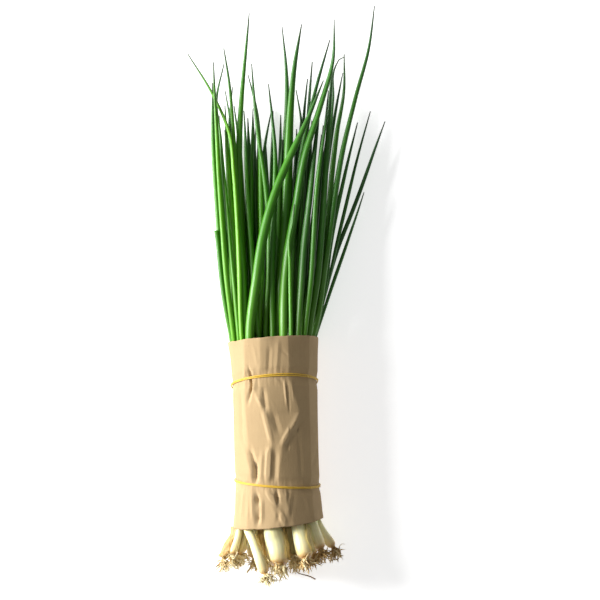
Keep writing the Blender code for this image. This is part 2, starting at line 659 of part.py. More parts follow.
def make_roots(name, plant, heights, places, draw, collection, material):
    """The root plate under the bulb and its roots, which curl away from it, fused in one body."""
    end_radius = float(shank_radius(np.array([plant.base_y]), plant)[0])
    low, high = along_strand(heights, places, plant.base_y + np.array((0.0, 0.25 * plant.bulb)))
    down = (Vector(low) - Vector(high)).normalized()
    plate_top = Vector(low) + down * 1.5 * GAP
    plate_radii = end_radius * np.array((1.0, ROOT_PLATE_TAPER))
    plate = (plate_top, plate_top + down * ROOT_PLATE_DEPTH)
    base = tube(name, collection, plate, plate_radii, SHANK_SIDES)
    branches = make_collection(name + "_branches")
    reach = shank_radius(heights[:1], plant)[0] - 1
    beard_end = Vector(along_strand(heights, places, heights[:1])[0])
    middle = plate_top + down * ROOT_PLATE_DEPTH * ROOT_START
    for number in range(ROOTS_A_PLANT):
        angle = 2 * math.pi * (number + draw.uniform(-0.3, 0.3)) / ROOTS_A_PLANT
        length = draw.uniform(0.6, 0.95)
        curl = draw.uniform(-ROOT_CURL, ROOT_CURL)
        points = []
        for share, spread in ROOT_WAY:
            turned = angle + curl * share
            point = middle + share * length * (beard_end - middle)
            point += Vector((math.cos(turned), 0, math.sin(turned))) * (reach * spread)
            point.z = max(point.z, 1.2 * ROOT_RADIUS)
            points.append(point)
        radii = ROOT_RADIUS * np.array(ROOT_TAPER)
        tube(f"{name}_{number}", branches, points, radii, ROOT_SIDES)
    fuse(base, branches)
    finish(base, material)


def main():
    """Builds the sleeve, the bands and the scallions."""
    clear_scene()
    collection = make_collection("scallion_bunch")
    materials = {name: make_material(name) for name in COLOURS}
    make_sleeve(collection, materials["paper"])
    make_band("rubber_band_upper", UPPER_BAND, collection, materials["band"])
    make_band("rubber_band_lower", LOWER_BAND, collection, materials["band"])
    plant_heights, plant_places = plant_layout()
    leaves, owner, leaf_heights, leaf_places = leaf_layout(plant_heights, plant_places)
    draw = np.random.default_rng(SEED + 1)
    sheaves = []
    for index, plant in enumerate(PLANTS):
        label = f"scallion_{index + 1:02d}"
        line = plant_heights[index], plant_places[index]
        mine = np.flatnonzero(owner == index)
        grown = [(leaves[k], leaf_heights[k], leaf_places[k]) for k in mine]
        make_shank(label + "_shank", plant, *line, collection, materials["shank"])
        sheaf = make_leaves(label + "_leaves", plant, line, grown, collection, materials["leaf"])
        sheaves.append(sheaf)
        make_roots(label + "_roots", plant, *line, draw, collection, materials["root"])
    let_down(sheaves)


main()
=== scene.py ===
"""The finished look of a bunch of scallions in a kraft paper sleeve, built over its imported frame.

The bunch lies along +Y with its leaf tips at the far end, and the camera looks straight down on it.
Classes hold their sizes in millimetres, and MM turns them into metres where a mesh is made.
"""

import logging
import math
from dataclasses import dataclass, field
from enum import Enum
from typing import Any

import bpy
import numpy as np
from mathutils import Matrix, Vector


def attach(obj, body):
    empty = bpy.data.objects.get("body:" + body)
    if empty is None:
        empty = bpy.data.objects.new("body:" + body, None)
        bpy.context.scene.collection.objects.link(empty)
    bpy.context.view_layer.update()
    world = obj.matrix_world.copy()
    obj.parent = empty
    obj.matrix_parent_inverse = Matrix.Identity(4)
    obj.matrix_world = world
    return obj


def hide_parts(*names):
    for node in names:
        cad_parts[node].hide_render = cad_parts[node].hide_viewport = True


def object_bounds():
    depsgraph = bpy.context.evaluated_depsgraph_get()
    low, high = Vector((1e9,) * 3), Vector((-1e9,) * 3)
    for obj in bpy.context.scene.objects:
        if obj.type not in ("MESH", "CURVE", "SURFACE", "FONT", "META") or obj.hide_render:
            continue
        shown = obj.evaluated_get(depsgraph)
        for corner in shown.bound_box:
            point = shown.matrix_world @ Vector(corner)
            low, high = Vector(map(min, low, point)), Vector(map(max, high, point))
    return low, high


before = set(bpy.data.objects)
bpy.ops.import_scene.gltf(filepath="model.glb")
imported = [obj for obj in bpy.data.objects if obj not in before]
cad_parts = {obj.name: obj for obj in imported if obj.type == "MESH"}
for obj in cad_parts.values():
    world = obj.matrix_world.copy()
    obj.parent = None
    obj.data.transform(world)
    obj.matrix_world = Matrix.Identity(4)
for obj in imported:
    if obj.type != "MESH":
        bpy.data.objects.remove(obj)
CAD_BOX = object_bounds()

MM = 0.001
GAP = 0.3
LOG = logging.getLogger("scallions")


class Slot(Enum):
    """The record's material slots."""

    LEAF = "leaf"
    SHANK = "shank"
    ROOT = "root"
    PAPER = "paper"
    BAND = "band"


# The forms that the pieces share


def rising(value: Any, start: Any, over: Any) -> Any:
    """0 before a start, 1 from a length past it, and straight between them."""
    return np.clip((value - start) / over, 0, 1)


def falling(value: Any, end: Any, over: Any) -> Any:
    """1 up to a length before an end, 0 past it, and straight between them."""
    return np.clip((end - value) / over, 0, 1)


def rows_of(kind: Any, *rows: tuple[Any, ...]) -> tuple[Any, ...]:
    """One record of a kind for each row of its values."""
    return tuple(kind(*row) for row in rows)


@dataclass(frozen=True)
class Rim:
    """A line round the sleeve: its height along Y, and how far it leans sideways and to the top."""

    along: float
    sideways: float
    topwards: float


@dataclass(frozen=True)
class LeafTrace:
    """A leaf: its widest part, how deep it lies in the fan (0 top, 1 bottom), and its way (x, y)."""

    width: float
    depth: float
    way: tuple[tuple[float, float], ...]


@dataclass(frozen=True)
class PlantTrace:
    """A scallion: its place at the sleeve's lower edge, its bulb's end and radii, and its depth."""

    edge_x: float
    base_x: float
    base_y: float
    bulb: float
    shank: float
    depth: float


@dataclass(frozen=True)
class SleeveForm:
    """The paper's form, wrapped once round the stems with its free edge on the right of the front."""

    thickness: float = 0.8
    width: float = 31.0
    height: float = 27.0
    axis_height: float = 24.4
    flare: float = 2.0
    top_flare_from: float = 10.0
    bottom_flare_from: float = -28.0
    lean_across: float = -0.03
    middle_x: float = 0.5
    free_edge: float = math.radians(40)
    band_pinch: float = 1.3
    dent_below: float = 2.0
    dent_reach: float = 6.5
    bottom_edge: Rim = Rim(-63.0, 3.5, -2.7)
    lower_band: Rim = Rim(-35.5, -1.9, -1.9)
    upper_band: Rim = Rim(34.0, 1.8, 6.4)
    top_edge: Rim = Rim(64.0, 2.1, 3.1)

    @property
    def pitch(self) -> float:
        """How far the paper winds inwards over one turn."""
        return self.thickness + GAP

    def half_width(self, y: np.ndarray) -> np.ndarray:
        """Half the paper's width at some heights.

        Args:
            y: Heights along the bunch.

        Returns:
            A straight middle that opens a little towards both ends.
        """
        top = rising(y, self.top_flare_from, self.top_edge.along - self.top_flare_from)
        reach = self.bottom_flare_from - self.bottom_edge.along
        bottom = falling(y, self.bottom_flare_from, reach)
        return self.width + self.flare * top**2 + self.flare * bottom**2

    def place(self, angle: np.ndarray, along: np.ndarray, outward: np.ndarray) -> np.ndarray:
        """Points of the wrap.

        Args:
            angle: Angles of the wrap, from its free edge on.
            along: Heights before the rims' lean.
            outward: Distances outward of the paper's middle surface.

        Returns:
            Points (x, y, z) in the last axis.
        """
        rims = (self.bottom_edge, self.lower_band, self.upper_band, self.top_edge)
        heights = [rim.along for rim in rims]
        sideways = np.interp(along, heights, [rim.sideways for rim in rims])
        topwards = np.interp(along, heights, [rim.topwards for rim in rims])
        y = along + sideways * np.cos(angle) + topwards * np.sin(angle)
        turned = (angle - self.free_edge) / (2 * math.pi)
        near = np.minimum(abs(along - self.lower_band.along), abs(along - self.upper_band.along))
        pinch = np.clip(1 - near / self.dent_reach, 0, 1)
        inset = self.thickness / 2 + self.pitch * turned + self.band_pinch * pinch - outward
        x = self.middle_x + self.lean_across * y + (self.half_width(y) - inset) * np.cos(angle)
        z = self.axis_height + (self.height - inset) * np.sin(angle)
        lowest = self.thickness / 2 + self.dent_below * pinch - outward
        return np.stack([x, y, np.maximum(z, lowest)], axis=-1)


@dataclass(frozen=True)
class StemRoom:
    """The oval that holds the stems, narrowed in the sleeve, flat and wide in the fan of leaves."""

    sleeve: SleeveForm = SleeveForm()
    pinched_within: float = 58.0
    pinch_fades_over: float = 8.0
    lift: float = 1.2
    margin: float = 1.4
    fan_length: float = 230.0
    fan_widens: float = 75.0
    fan_sinks: float = 10.5
    fan_flattens: float = 11.5
    square_over: float = 100.0
    bulbs_splay_from: float = -70.5
    bulbs_splay_over: float = 9.0
    bulbs_widen: float = 9.0
    bulbs_thicken: float = 2.5
    right_splays_over: float = 8.0
    right_splay: float = 2.5
    sleeve_margin: float = 6.0

    def section(self, y: np.ndarray) -> tuple[np.ndarray, np.ndarray, np.ndarray, np.ndarray]:
        """The oval at some heights.

        Args:
            y: Heights along the bunch.

        Returns:
            Its middle x, middle z, half-width and half-height.
        """
        sleeve = self.sleeve
        fan = rising(y, sleeve.top_edge.along, self.fan_length)
        splay = falling(y, self.bulbs_splay_from, self.bulbs_splay_over)
        splay_right = falling(y, sleeve.bottom_edge.along, self.right_splays_over)
        pinched = falling(np.abs(y), self.pinched_within, self.pinch_fades_over)
        inner_left = sleeve.thickness + 0.5 * sleeve.pitch + sleeve.band_pinch * pinched + 2 * GAP
        inner_right = inner_left + 0.85 * sleeve.pitch
        shift = (inner_left - inner_right) / 2
        held = 1 - fan
        middle_x = sleeve.middle_x + (sleeve.lean_across * y + shift) * held
        middle_x = middle_x + self.right_splay * splay_right
        middle_z = sleeve.axis_height + self.lift * held - self.fan_sinks * fan
        half_width = sleeve.half_width(y) - (inner_left - shift) * held * (1 - splay)
        half_width = half_width + self.fan_widens * fan + self.right_splay * splay_right
        half_width = half_width + self.bulbs_widen * splay
        half_height = sleeve.height - self.margin - inner_right * held
        half_height = half_height - self.fan_flattens * fan + self.bulbs_thicken * splay
        return middle_x, middle_z, half_width, half_height

    def floor(self, y: np.ndarray) -> np.ndarray:
        """Lowest z that a stem may reach: above the paper and its dents, or just off the surface.

        Args:
            y: Heights along the bunch.

        Returns:
            A z for each height.
        """
        sleeve = self.sleeve
        inside = (y > sleeve.bottom_edge.along - self.sleeve_margin) & (
            y < sleeve.top_edge.along + self.sleeve_margin
        )
        return np.where(inside, sleeve.thickness + sleeve.dent_below + GAP, GAP)

    def height_for(self, x: Any, y: Any, radius: Any, depth: float) -> Any:
        """Height of a stem in the oval.

        Args:
            x: Where it lies across.
            y: Where it lies along.
            radius: Its radius there.
            depth: How deep it lies, from 0 at the top to 1 at the bottom.

        Returns:
            The z of its middle line.
        """
        middle_x, middle_z, half_width, half_height = self.section(y)
        across = np.abs(np.clip((x - middle_x) / half_width, -0.97, 0.97))
        square = 2 + 1.5 * rising(y, self.sleeve.top_edge.along, self.square_over)
        reach = half_height * (1 - across**square) ** (1 / square)
        top = middle_z + reach - radius
        bottom = np.maximum(middle_z - reach, self.floor(y)) + radius
        return top + depth * (bottom - top)


@dataclass(frozen=True)
class Settler:
    """Moves strands that touch apart, while it keeps each near the way that it wants to go."""

    room: StemRoom = StemRoom()
    spacing: float = 3.0
    pull_back: float = 0.06
    pull_ends_at: float = 0.7
    evening: float = 0.12
    step_share: float = 0.7

    @staticmethod
    def weights(levels: np.ndarray, heights: np.ndarray) -> np.ndarray:
        """How much of each of a strand's points makes its place at each level.

        Args:
            levels: Heights along the bunch.
            heights: The heights of the strand's points.

        Returns:
            A share for each level and point, 0 off the strand.
        """
        weights = np.zeros((len(levels), len(heights)))
        for row, level in enumerate(levels):
            if heights[0] <= level <= heights[-1]:
                upper = int(np.clip(np.searchsorted(heights, level), 1, len(heights) - 1))
                share = (level - heights[upper - 1]) / (heights[upper] - heights[upper - 1])
                weights[row, upper - 1] = 1 - share
                weights[row, upper] = share
        return weights

    def settle(
        self,
        heights: np.ndarray,
        wanted: np.ndarray,
        radii_at: Any,
        apart_from: np.ndarray,
        pinned: np.ndarray,
        give: np.ndarray,
        rounds: int,
    ) -> np.ndarray:
        """Settles some strands beside each other.

        Args:
            heights: Each strand's heights.
            wanted: The (x, z) that each of its points wants.
            radii_at: Gives strand k's radii at some levels.
            apart_from: For each pair, the height above which the two keep apart.
            pinned: Which points stay.
            give: How readily a pushed strand moves along x and along z.
            rounds: How many rounds to run.

        Returns:
            The settled (x, z) of every point.
        """
        levels = np.arange(heights.min(), heights.max() + self.spacing, self.spacing)
        weights = np.stack([self.weights(levels, row) for row in heights])
        present = weights.sum(axis=2) > 0
        radii = np.stack([radii_at(k, levels) for k in range(len(heights))])
        share = weights.sum(axis=1)[:, :, None] + 1e-6
        pair_on = present[:, None, :] & present[None, :, :] & (levels > apart_from[:, :, None])
        middle_x, middle_z, half_width, half_height = self.room.section(levels)
        floor = self.room.floor(levels)
        places = wanted.copy()
        free = (~pinned)[:, :, None]
        for turn in range(rounds):
            pull = self.pull_back * max(0.0, 1 - turn / (self.pull_ends_at * rounds))
            places += free * pull * (wanted - places) / give
            off = places - wanted
            uneven = 0.5 * (off[:, :-2] + off[:, 2:]) - off[:, 1:-1]
            places[:, 1:-1] += free[:, 1:-1] * min(pull * 3, self.evening) * uneven
            at = np.einsum("kln,knc->klc", weights, places)
            slope = np.gradient(at, levels, axis=1)
            slope = np.where(present[:, :, None], slope, 0).clip(-1, 1)
            thick = radii * np.sqrt(1 + (slope**2).sum(axis=2))
            away = at[:, None] - at[None, :]
            far = np.sqrt((away**2).sum(axis=3)) + 1e-9
            short = thick[:, None] + thick[None, :] + 2 * GAP - far
            short = np.where(pair_on & (short > 0), short, 0)
            push = 0.5 * (away / far[..., None] * short[..., None]).sum(axis=1) * give
            off_x = at[:, :, 0] - middle_x
            off_z = at[:, :, 1] - middle_z
            out = np.hypot(off_x / (half_width - thick), off_z / (half_height - thick))
            back = np.where((out > 1) & present, 1 / np.maximum(out, 1) - 1, 0)
            push[:, :, 0] += back * off_x
            push[:, :, 1] += back * off_z
            push[:, :, 1] += np.where(present, np.maximum(floor + thick - at[:, :, 1], 0), 0)
            places += free * self.step_share * np.einsum("kln,klc->knc", weights, push) / share
        return places


@dataclass(frozen=True)
class Strand:
    """A line through settled points, smooth between them."""

    heights: np.ndarray
    places: np.ndarray

    def at(self, levels: np.ndarray) -> np.ndarray:
        """Points (x, y, z) of the strand.

        Args:
            levels: Heights along the bunch, inside the strand.

        Returns:
            One row for each level, on a cubic through the strand's own points.
        """
        heights = self.heights
        steps = np.diff(heights)
        runs = np.diff(self.places, axis=0) / steps[:, None]
        blend = (steps[:-1] / (steps[:-1] + steps[1:]))[:, None]
        inner = runs[:-1] * (1 - blend) + runs[1:] * blend
        slopes = np.concatenate([runs[:1], inner, runs[-1:]])
        part = np.clip(np.searchsorted(heights, levels, side="right") - 1, 0, len(steps) - 1)
        span = steps[part][:, None]
        t = np.clip((levels - heights[part]) / steps[part], 0, 1)[:, None]
        low = self.places[part]
        high = self.places[part + 1]
        place = low * (1 + 2 * t) * (1 - t) ** 2 + high * t**2 * (3 - 2 * t)
        place = place + span * (slopes[part] * t * (1 - t) ** 2 - slopes[part + 1] * t**2 * (1 - t))
        return np.stack([place[:, 0], levels, place[:, 1]], axis=1)

    def straight(self, levels: np.ndarray) -> np.ndarray:
        """Points (x, y, z) on straight runs between the strand's own points.

        Args:
            levels: Heights along the bunch.

        Returns:
            One row for each level.
        """
        x = np.interp(levels, self.heights, self.places[:, 0])
        z = np.interp(levels, self.heights, self.places[:, 1])
        return np.stack([x, levels, z], axis=1)


@dataclass
class BunchLayout:
    """Where each scallion and each leaf lies, worked out by the same rule as the solids."""

    room: StemRoom = StemRoom()
    seed: int = 27
    neck_bottom: float = 0.0
    neck_top: float = 14.0
    seam_reach: float = 4.0
    shank_points: int = 8
    leaf_foot: float = 4.0
    leaf_exit: float = 12.0
    leaf_points: int = 7
    tip_radius: float = 0.45
    beard_length: float = 12.0
    beard_lean: float = 0.25
    mouth_squeeze: float = 0.85
    most_in_turn: tuple[int, ...] = (2, 3, 4)
    sisters_part_at: float = 40.0
    others_part_at: float = 15.0
    let_down_from: float = 70.0
    let_down_over: float = 70.0
    lies_within: float = 4.0
    foot_slim: float = 0.82
    foot_fills: float = 0.18
    foot_over: float = 0.35
    taper_from: float = 0.42
    taper_over: float = 0.58
    taper_power: float = 2.1
    end_over: float = 1.1
    end_least: float = 0.45
    end_rounds: float = 0.55
    swell_from: float = 1.3
    swell_over: float = 2.3
    beard_radius: float = 1.5
    beard_share: float = 0.62
    bend_length: float = 28.0
    bend_points: int = 29
    bend_ends: float = 26.0
    bend_fades_over: float = 9.0
    squeeze: float = 0.2
    squeezed_within: float = 57.0
    squeeze_fades_over: float = 7.0
    stem_rounds: int = 500
    leaf_rounds: int = 700
    leaf_give: tuple[float, float] = (0.6, 1.4)
    hidden: int = 18
    hidden_foot_x: tuple[float, float] = (-27.0, 26.0)
    hidden_tip_y: tuple[float, float] = (204.0, 226.0)
    hidden_width: tuple[float, float] = (4.2, 5.4)
    hidden_spread: tuple[float, float] = (1.2, 1.45)
    hidden_lean: tuple[float, float] = (-1.0, 3.0)
    hidden_depths: tuple[float, ...] = (0.60, 0.79, 0.98)
    plants: tuple[PlantTrace, ...] = rows_of(
        PlantTrace,
        (-32, -37.5, -88, 3.2, 2.6, 0.45),
        (-27, -31.5, -85, 2.8, 2.4, 0.27),
        (-25, -28, -85, 2.4, 2.0, 0.50),
        (-27, -3.5, -97.5, 3.9, 3.2, 0.00),
        (-10, -8.5, -84, 3.4, 2.8, 0.34),
        (-2.5, 5, -92, 8.0, 5.0, 0.02),
        (8, 12, -84, 4.2, 3.4, 0.28),
        (14.5, 21.5, -87, 6.2, 4.2, 0.05),
        (25.5, 31, -81, 4.8, 3.4, 0.22),
        (31, 39.5, -80, 3.5, 2.8, 0.42),
        (-24, -26, -84, 4.6, 3.2, 0.78),
        (-14, -17, -88, 5.0, 3.4, 0.62),
        (-12, -12, -82, 4.8, 3.4, 0.96),
        (-2, -3, -86, 5.0, 3.4, 0.66),
        (2, 2, -92, 5.2, 3.5, 0.98),
        (11, 12, -88, 5.2, 3.5, 0.64),
        (15, 16, -82, 4.8, 3.4, 0.97),
        (22, 26, -85, 5.0, 3.4, 0.72),
    )
    shown: tuple[LeafTrace, ...] = rows_of(
        LeafTrace,
        (4.0, 0.38, ((-32, 62), (-37.1, 103), (-41.3, 141))),
        (3.3, 0.52, ((-31, 64), (-39, 134), (-43.4, 197), (-44.5, 245))),
        (4.0, 0.20, ((-29, 66), (-36.1, 134), (-41, 210), (-43.4, 259))),
        (2.6, 0.30, ((-28, 66), (-31.5, 136), (-36.8, 180))),
        (3.2, 0.25, ((-26, 66), (-34.7, 162), (-39.6, 218), (-41.3, 239), (-35.7, 258))),
        (3.2, 0.22, ((-22.8, 67), (-27.7, 162), (-34, 215), (-44.5, 237), (-61.7, 265))),
        (4.2, 0.34, ((-23.5, 65), (-29.8, 140), (-33.6, 194), (-35.6, 229))),
        (3.8, 0.25, ((-20.7, 67), (-27.7, 169), (-31.2, 232), (-36.4, 269))),
        (5.0, 0.34, ((-19.5, 66), (-24.2, 138), (-25.9, 190), (-23.5, 236), (-18.6, 294))),
        (3.8, 0.30, ((-13, 67), (-19.3, 162), (-21.4, 208), (-22.4, 225))),
        (7.2, 0.00, ((-19.5, 66), (-12.6, 115), (-5.6, 151), (8, 187), (19, 210), (37, 246))),
        (4.2, 0.34, ((-11.6, 66), (-10.2, 97), (-9.8, 160), (-13.5, 226), (-19.3, 251))),
        (3.6, 0.30, ((-6.7, 67), (-3.9, 127), (-6, 162), (-12.6, 211), (-16.8, 258))),
        (4.2, 0.28, ((-1.8, 66), (-2.7, 115), (-0.4, 197), (-4.9, 244))),
        (7.0, 0.32, ((1.8, 66), (6.7, 141), (9.5, 204), (12.8, 252), (18.1, 286))),
        (5.8, 0.03, ((6, 66), (7.5, 115), (15.6, 165), (19.5, 190), (27, 215), (38.5, 250), (41.2, 289))),
        (2.6, 0.05, ((10.4, 66), (10.9, 113), (15.1, 159))),
        (5.2, 0.08, ((18.4, 66), (18.7, 118), (23.5, 162), (29.4, 215), (31.2, 232))),
        (4.2, 0.10, ((23.5, 66), (25.6, 117), (29.8, 180), (34.7, 215), (37.1, 239))),
        (4.5, 0.20, ((26.6, 66), (32.6, 141), (36.3, 204), (39.9, 259))),
        (4.2, 0.35, ((28, 66), (35.4, 119), (40.3, 187), (46.2, 229), (49.6, 250), (48, 265))),
        (4.0, 0.30, ((29.5, 66), (38, 134), (45, 186), (55, 230), (64.3, 263), (69.4, 299))),
        (2.6, 0.50, ((30, 66), (41.5, 149), (51, 190), (57.5, 217))),
        (2.4, 0.60, ((30, 66), (40.5, 118), (51.5, 168), (66.5, 225))),
        (2.6, 0.70, ((31, 66), (41.5, 119), (59, 168), (77, 218))),
        (2.2, 0.50, ((32, 66), (42.8, 106), (57, 141), (64, 168))),
        (3.0, 0.60, ((-22, 66), (-32.6, 224), (-35.7, 240))),
        (2.6, 0.60, ((-20, 66), (-26.6, 210), (-29.2, 229))),
        (3.0, 0.50, ((-14, 66), (-17.2, 187), (-15.8, 227))),
        (3.0, 0.60, ((-10, 66), (-14.4, 201), (-13.7, 213))),
        (3.2, 0.60, ((-5, 66), (-9.5, 187), (-3.2, 224))),
        (4.2, 0.52, ((4, 66), (6, 183), (8.1, 239), (4.6, 285))),
        (3.4, 0.55, ((12, 66), (18.6, 211), (14.4, 240))),
        (3.0, 0.60, ((13, 66), (20, 222), (22.5, 248))),
        (3.2, 0.55, ((15, 66), (22.5, 220), (25.9, 260))),
        (4.2, 0.40, ((10, 66), (17.2, 190), (28.7, 241), (37.9, 275))),
        (3.0, 0.50, ((20, 66), (39.5, 225), (41.3, 246), (43.5, 259))),
        (3.2, 0.60, ((22, 66), (39.6, 211), (47.3, 252))),
        (4.0, 0.45, ((-25, 66), (-31, 160), (-32, 225), (-30, 242))),
        (4.6, 0.62, ((-26, 66), (-34, 130), (-39, 190), (-39.5, 222))),
        (4.6, 0.68, ((-21, 66), (-28, 120), (-33.5, 185), (-36, 212))),
        (4.8, 0.48, ((-3, 66), (0.5, 120), (3.5, 170), (5, 205))),
        (4.6, 0.45, ((20, 66), (25.5, 120), (30.5, 175), (33.5, 215))),
    )
    stems: list[Strand] = field(default_factory=list)
    leaves: list[LeafTrace] = field(default_factory=list)
    owner: np.ndarray = field(default_factory=lambda: np.zeros(0, int))
    blades: list[Strand] = field(default_factory=list)

    def leaf_radius(self, share: np.ndarray, width: float) -> np.ndarray:
        """A leaf's radius: slim at its foot, then tapered to its tip.

        Args:
            share: Shares of its length.
            width: Its widest part.

        Returns:
            A radius for each share.
        """
        foot = self.foot_slim + self.foot_fills * rising(share, 0, self.foot_over)
        taper = rising(share, self.taper_from, self.taper_over) ** self.taper_power
        return width / 2 * foot * (1 - taper) + self.tip_radius * taper

    def shank_radius(self, y: np.ndarray, plant: PlantTrace) -> np.ndarray:
        """A scallion's radius: its root beard, its rounded bulb, and its shank to the neck.

        Args:
            y: Heights along the bunch.
            plant: The scallion.

        Returns:
            A radius for each height.
        """
        above = y - plant.base_y
        rise = rising(above, 0, plant.bulb * self.end_over)
        round_end = self.end_least + self.end_rounds * np.sqrt(1 - (1 - rise) ** 2)
        past_swell = np.maximum(above - plant.bulb * self.swell_from, 0)
        swell = np.exp(-((past_swell / (plant.bulb * self.swell_over)) ** 2))
        body = plant.shank + (plant.bulb - plant.shank) * swell
        beard = self.beard_radius + self.beard_share * plant.bulb
        return np.where(above < -0.1, beard, body * round_end)

    def end_radius(self, plant: PlantTrace) -> float:
        """The radius of a bulb's very end."""
        return float(self.shank_radius(np.array([plant.base_y]), plant)[0])

    def bulb_way(self, stem: Strand, levels: np.ndarray) -> np.ndarray:
        """A stem's middle line with its tight bends evened out, as a thick bulb bends.

        Args:
            stem: The stem.
            levels: Heights along the bunch.

        Returns:
            One point for each level.
        """
        low = stem.heights[1]
        spread = np.linspace(low, low + self.bend_length, self.bend_points)
        line = stem.at(spread)
        evened = falling(levels, low + self.bend_ends, self.bend_fades_over)
        evened = evened**2 * (3 - 2 * evened)
        way = stem.at(levels)
        for axis in (0, 2):
            bend = np.polynomial.Polynomial.fit(spread, line[:, axis], 2)
            way[:, axis] += evened * (bend(levels) - way[:, axis])
        way[:, 1] = levels
        return way

    def off_bulb(self, points: np.ndarray, number: int, clearance: float) -> np.ndarray:
        """Moves the points that lie in one bulb straight out of it, across the bunch.

        Args:
            points: The points, in millimetres.
            number: The bulb's scallion.
            clearance: How far off its skin they end.

        Returns:
            The points, in the same order.
        """
        plant, stem = self.plants[number], self.stems[number]
        flat = points.reshape(-1, 3)
        y = np.maximum(flat[:, 1], plant.base_y)
        way = self.bulb_way(stem, y)[:, [0, 2]]
        slope = (self.bulb_way(stem, y + 0.5)[:, [0, 2]] - way) / 0.5
        reach = self.shank_radius(y, plant) * np.sqrt(1 + (slope**2).sum(axis=1)) + clearance
        off = flat[:, [0, 2]] - way
        far = np.maximum(np.hypot(*off.T), 0.05)
        inside = (flat[:, 1] > plant.base_y) & (far < reach)
        moved = flat.copy()
        moved[:, [0, 2]] = way + off * np.where(inside, reach / far, 1.0)[:, None]
        return moved.reshape(points.shape)

    def off_other_bulbs(self, points: np.ndarray, own: int, clearance: float) -> np.ndarray:
        """Moves points out of every bulb but their own scallion's.

        Args:
            points: The points, in millimetres.
            own: The scallion that they belong to.
            clearance: How far off the skins they end.

        Returns:
            The points, in the same order.
        """
        for _ in range(3):
            for number in range(len(self.plants)):
                if number != own:
                    points = self.off_bulb(points, number, clearance)
        return points

    def slimming(self, y: np.ndarray) -> np.ndarray:
        """A factor on radii that leaves room for the paper's flat faces inside the sleeve."""
        return 1 - self.squeeze * falling(np.abs(y), self.squeezed_within, self.squeeze_fades_over)

    @staticmethod
    def smooth_way(heights: np.ndarray, way: tuple[tuple[float, float], ...]) -> np.ndarray:
        """Places across on a smooth curve through a way's points (x, y).

        Args:
            heights: Heights along the bunch.
            way: The way's points.

        Returns:
            A place for each height.
        """
        x, y = np.array(way).T
        runs = np.diff(x) / np.diff(y)
        slopes = np.concatenate([runs[:1], (runs[:-1] + runs[1:]) / 2, runs[-1:]])
        part = np.clip(np.searchsorted(y, heights) - 1, 0, len(y) - 2)
        span = np.diff(y)[part]
        share = np.clip((heights - y[part]) / span, -0.5, 1)
        near = x[part] * (1 + 2 * share) * (1 - share) ** 2
        far = x[part + 1] * share**2 * (3 - 2 * share)
        turn = slopes[part] * share * (1 - share) ** 2 - slopes[part + 1] * share**2 * (1 - share)
        return near + far + span * turn

    def settle_plants(self, settler: Settler) -> None:
        """Lays out each scallion from its root beard to its neck.

        Args:
            settler: What moves the scallions apart.
        """
        heights = []
        wanted = []
        edge = self.room.sleeve.bottom_edge.along
        lean = self.room.sleeve.lean_across
        for plant in self.plants:
            upward = np.linspace(0, 1, self.shank_points) ** 1.35
            below_seam = plant.base_y + upward * (-self.seam_reach - plant.base_y)
            beard_end = plant.base_y - self.beard_length
            own = np.concatenate([[beard_end], below_seam, [self.seam_reach, self.neck_top]])
            ends = (plant.base_x, plant.edge_x, plant.edge_x)
            x = np.interp(own, (plant.base_y, edge, self.neck_top), ends)
            x += np.where(own > edge, lean * (own - edge), 0)
            x[0] = x[1] + self.beard_lean * (x[1] - x[3])
            radius = self.shank_radius(own, plant)
            heights.append(own)
            wanted.append(np.stack([x, self.room.height_for(x, own, radius, plant.depth)], axis=1))
        count = len(self.plants)
        always = np.full((count, count), -np.inf)
        np.fill_diagonal(always, np.inf)
        rows = np.stack(heights)
        places = settler.settle(
            rows,
            np.stack(wanted),
            lambda k, levels: self.shank_radius(levels, self.plants[k]),
            always,
            np.zeros(rows.shape, bool),
            np.ones(2),
            self.stem_rounds,
        )
        self.stems = [Strand(row, place) for row, place in zip(rows, places)]

    def gather_leaves(self) -> None:
        """Lists the leaves that show and, below them, the hidden ones, placed by a seeded rule."""
        draw = np.random.default_rng(self.seed)
        self.leaves = list(self.shown)
        left, right = self.hidden_foot_x
        mouth_y = self.room.sleeve.top_edge.along + 2
        for number in range(self.hidden):
            foot_x = left + (right - left) * (number + draw.uniform(0.2, 0.8)) / self.hidden
            tip_y = draw.uniform(*self.hidden_tip_y)
            tip_x = foot_x * draw.uniform(*self.hidden_spread) + draw.uniform(*self.hidden_lean)
            middle = (0.55 * foot_x + 0.45 * tip_x, (mouth_y + tip_y) / 2)
            way = ((foot_x, mouth_y), middle, (tip_x, tip_y))
            depth = self.hidden_depths[number % 3]
            self.leaves.append(LeafTrace(draw.uniform(*self.hidden_width), depth, way))

    def share_out(self) -> None:
        """Gives each leaf the nearest scallion that can still take one."""
        necks = np.stack([stem.places[-1] for stem in self.stems])
        feet = []
        for leaf in self.leaves:
            x, y = leaf.way[0]
            foot_x = self.mouth_squeeze * x
            feet.append((foot_x, self.room.height_for(foot_x, y, leaf.width / 2, leaf.depth)))
        far = np.hypot(*(np.array(feet)[:, None] - necks[None]).transpose(2, 0, 1))
        self.owner = np.full(len(self.leaves), -1)
        for most in self.most_in_turn:
            taken = np.bincount(self.owner[self.owner >= 0], minlength=len(necks))
            for flat in np.argsort(far, axis=None, kind="stable"):
                leaf_index, plant = np.unravel_index(flat, far.shape)
                if self.owner[leaf_index] < 0 and taken[plant] < most:
                    self.owner[leaf_index] = plant
                    taken[plant] += 1

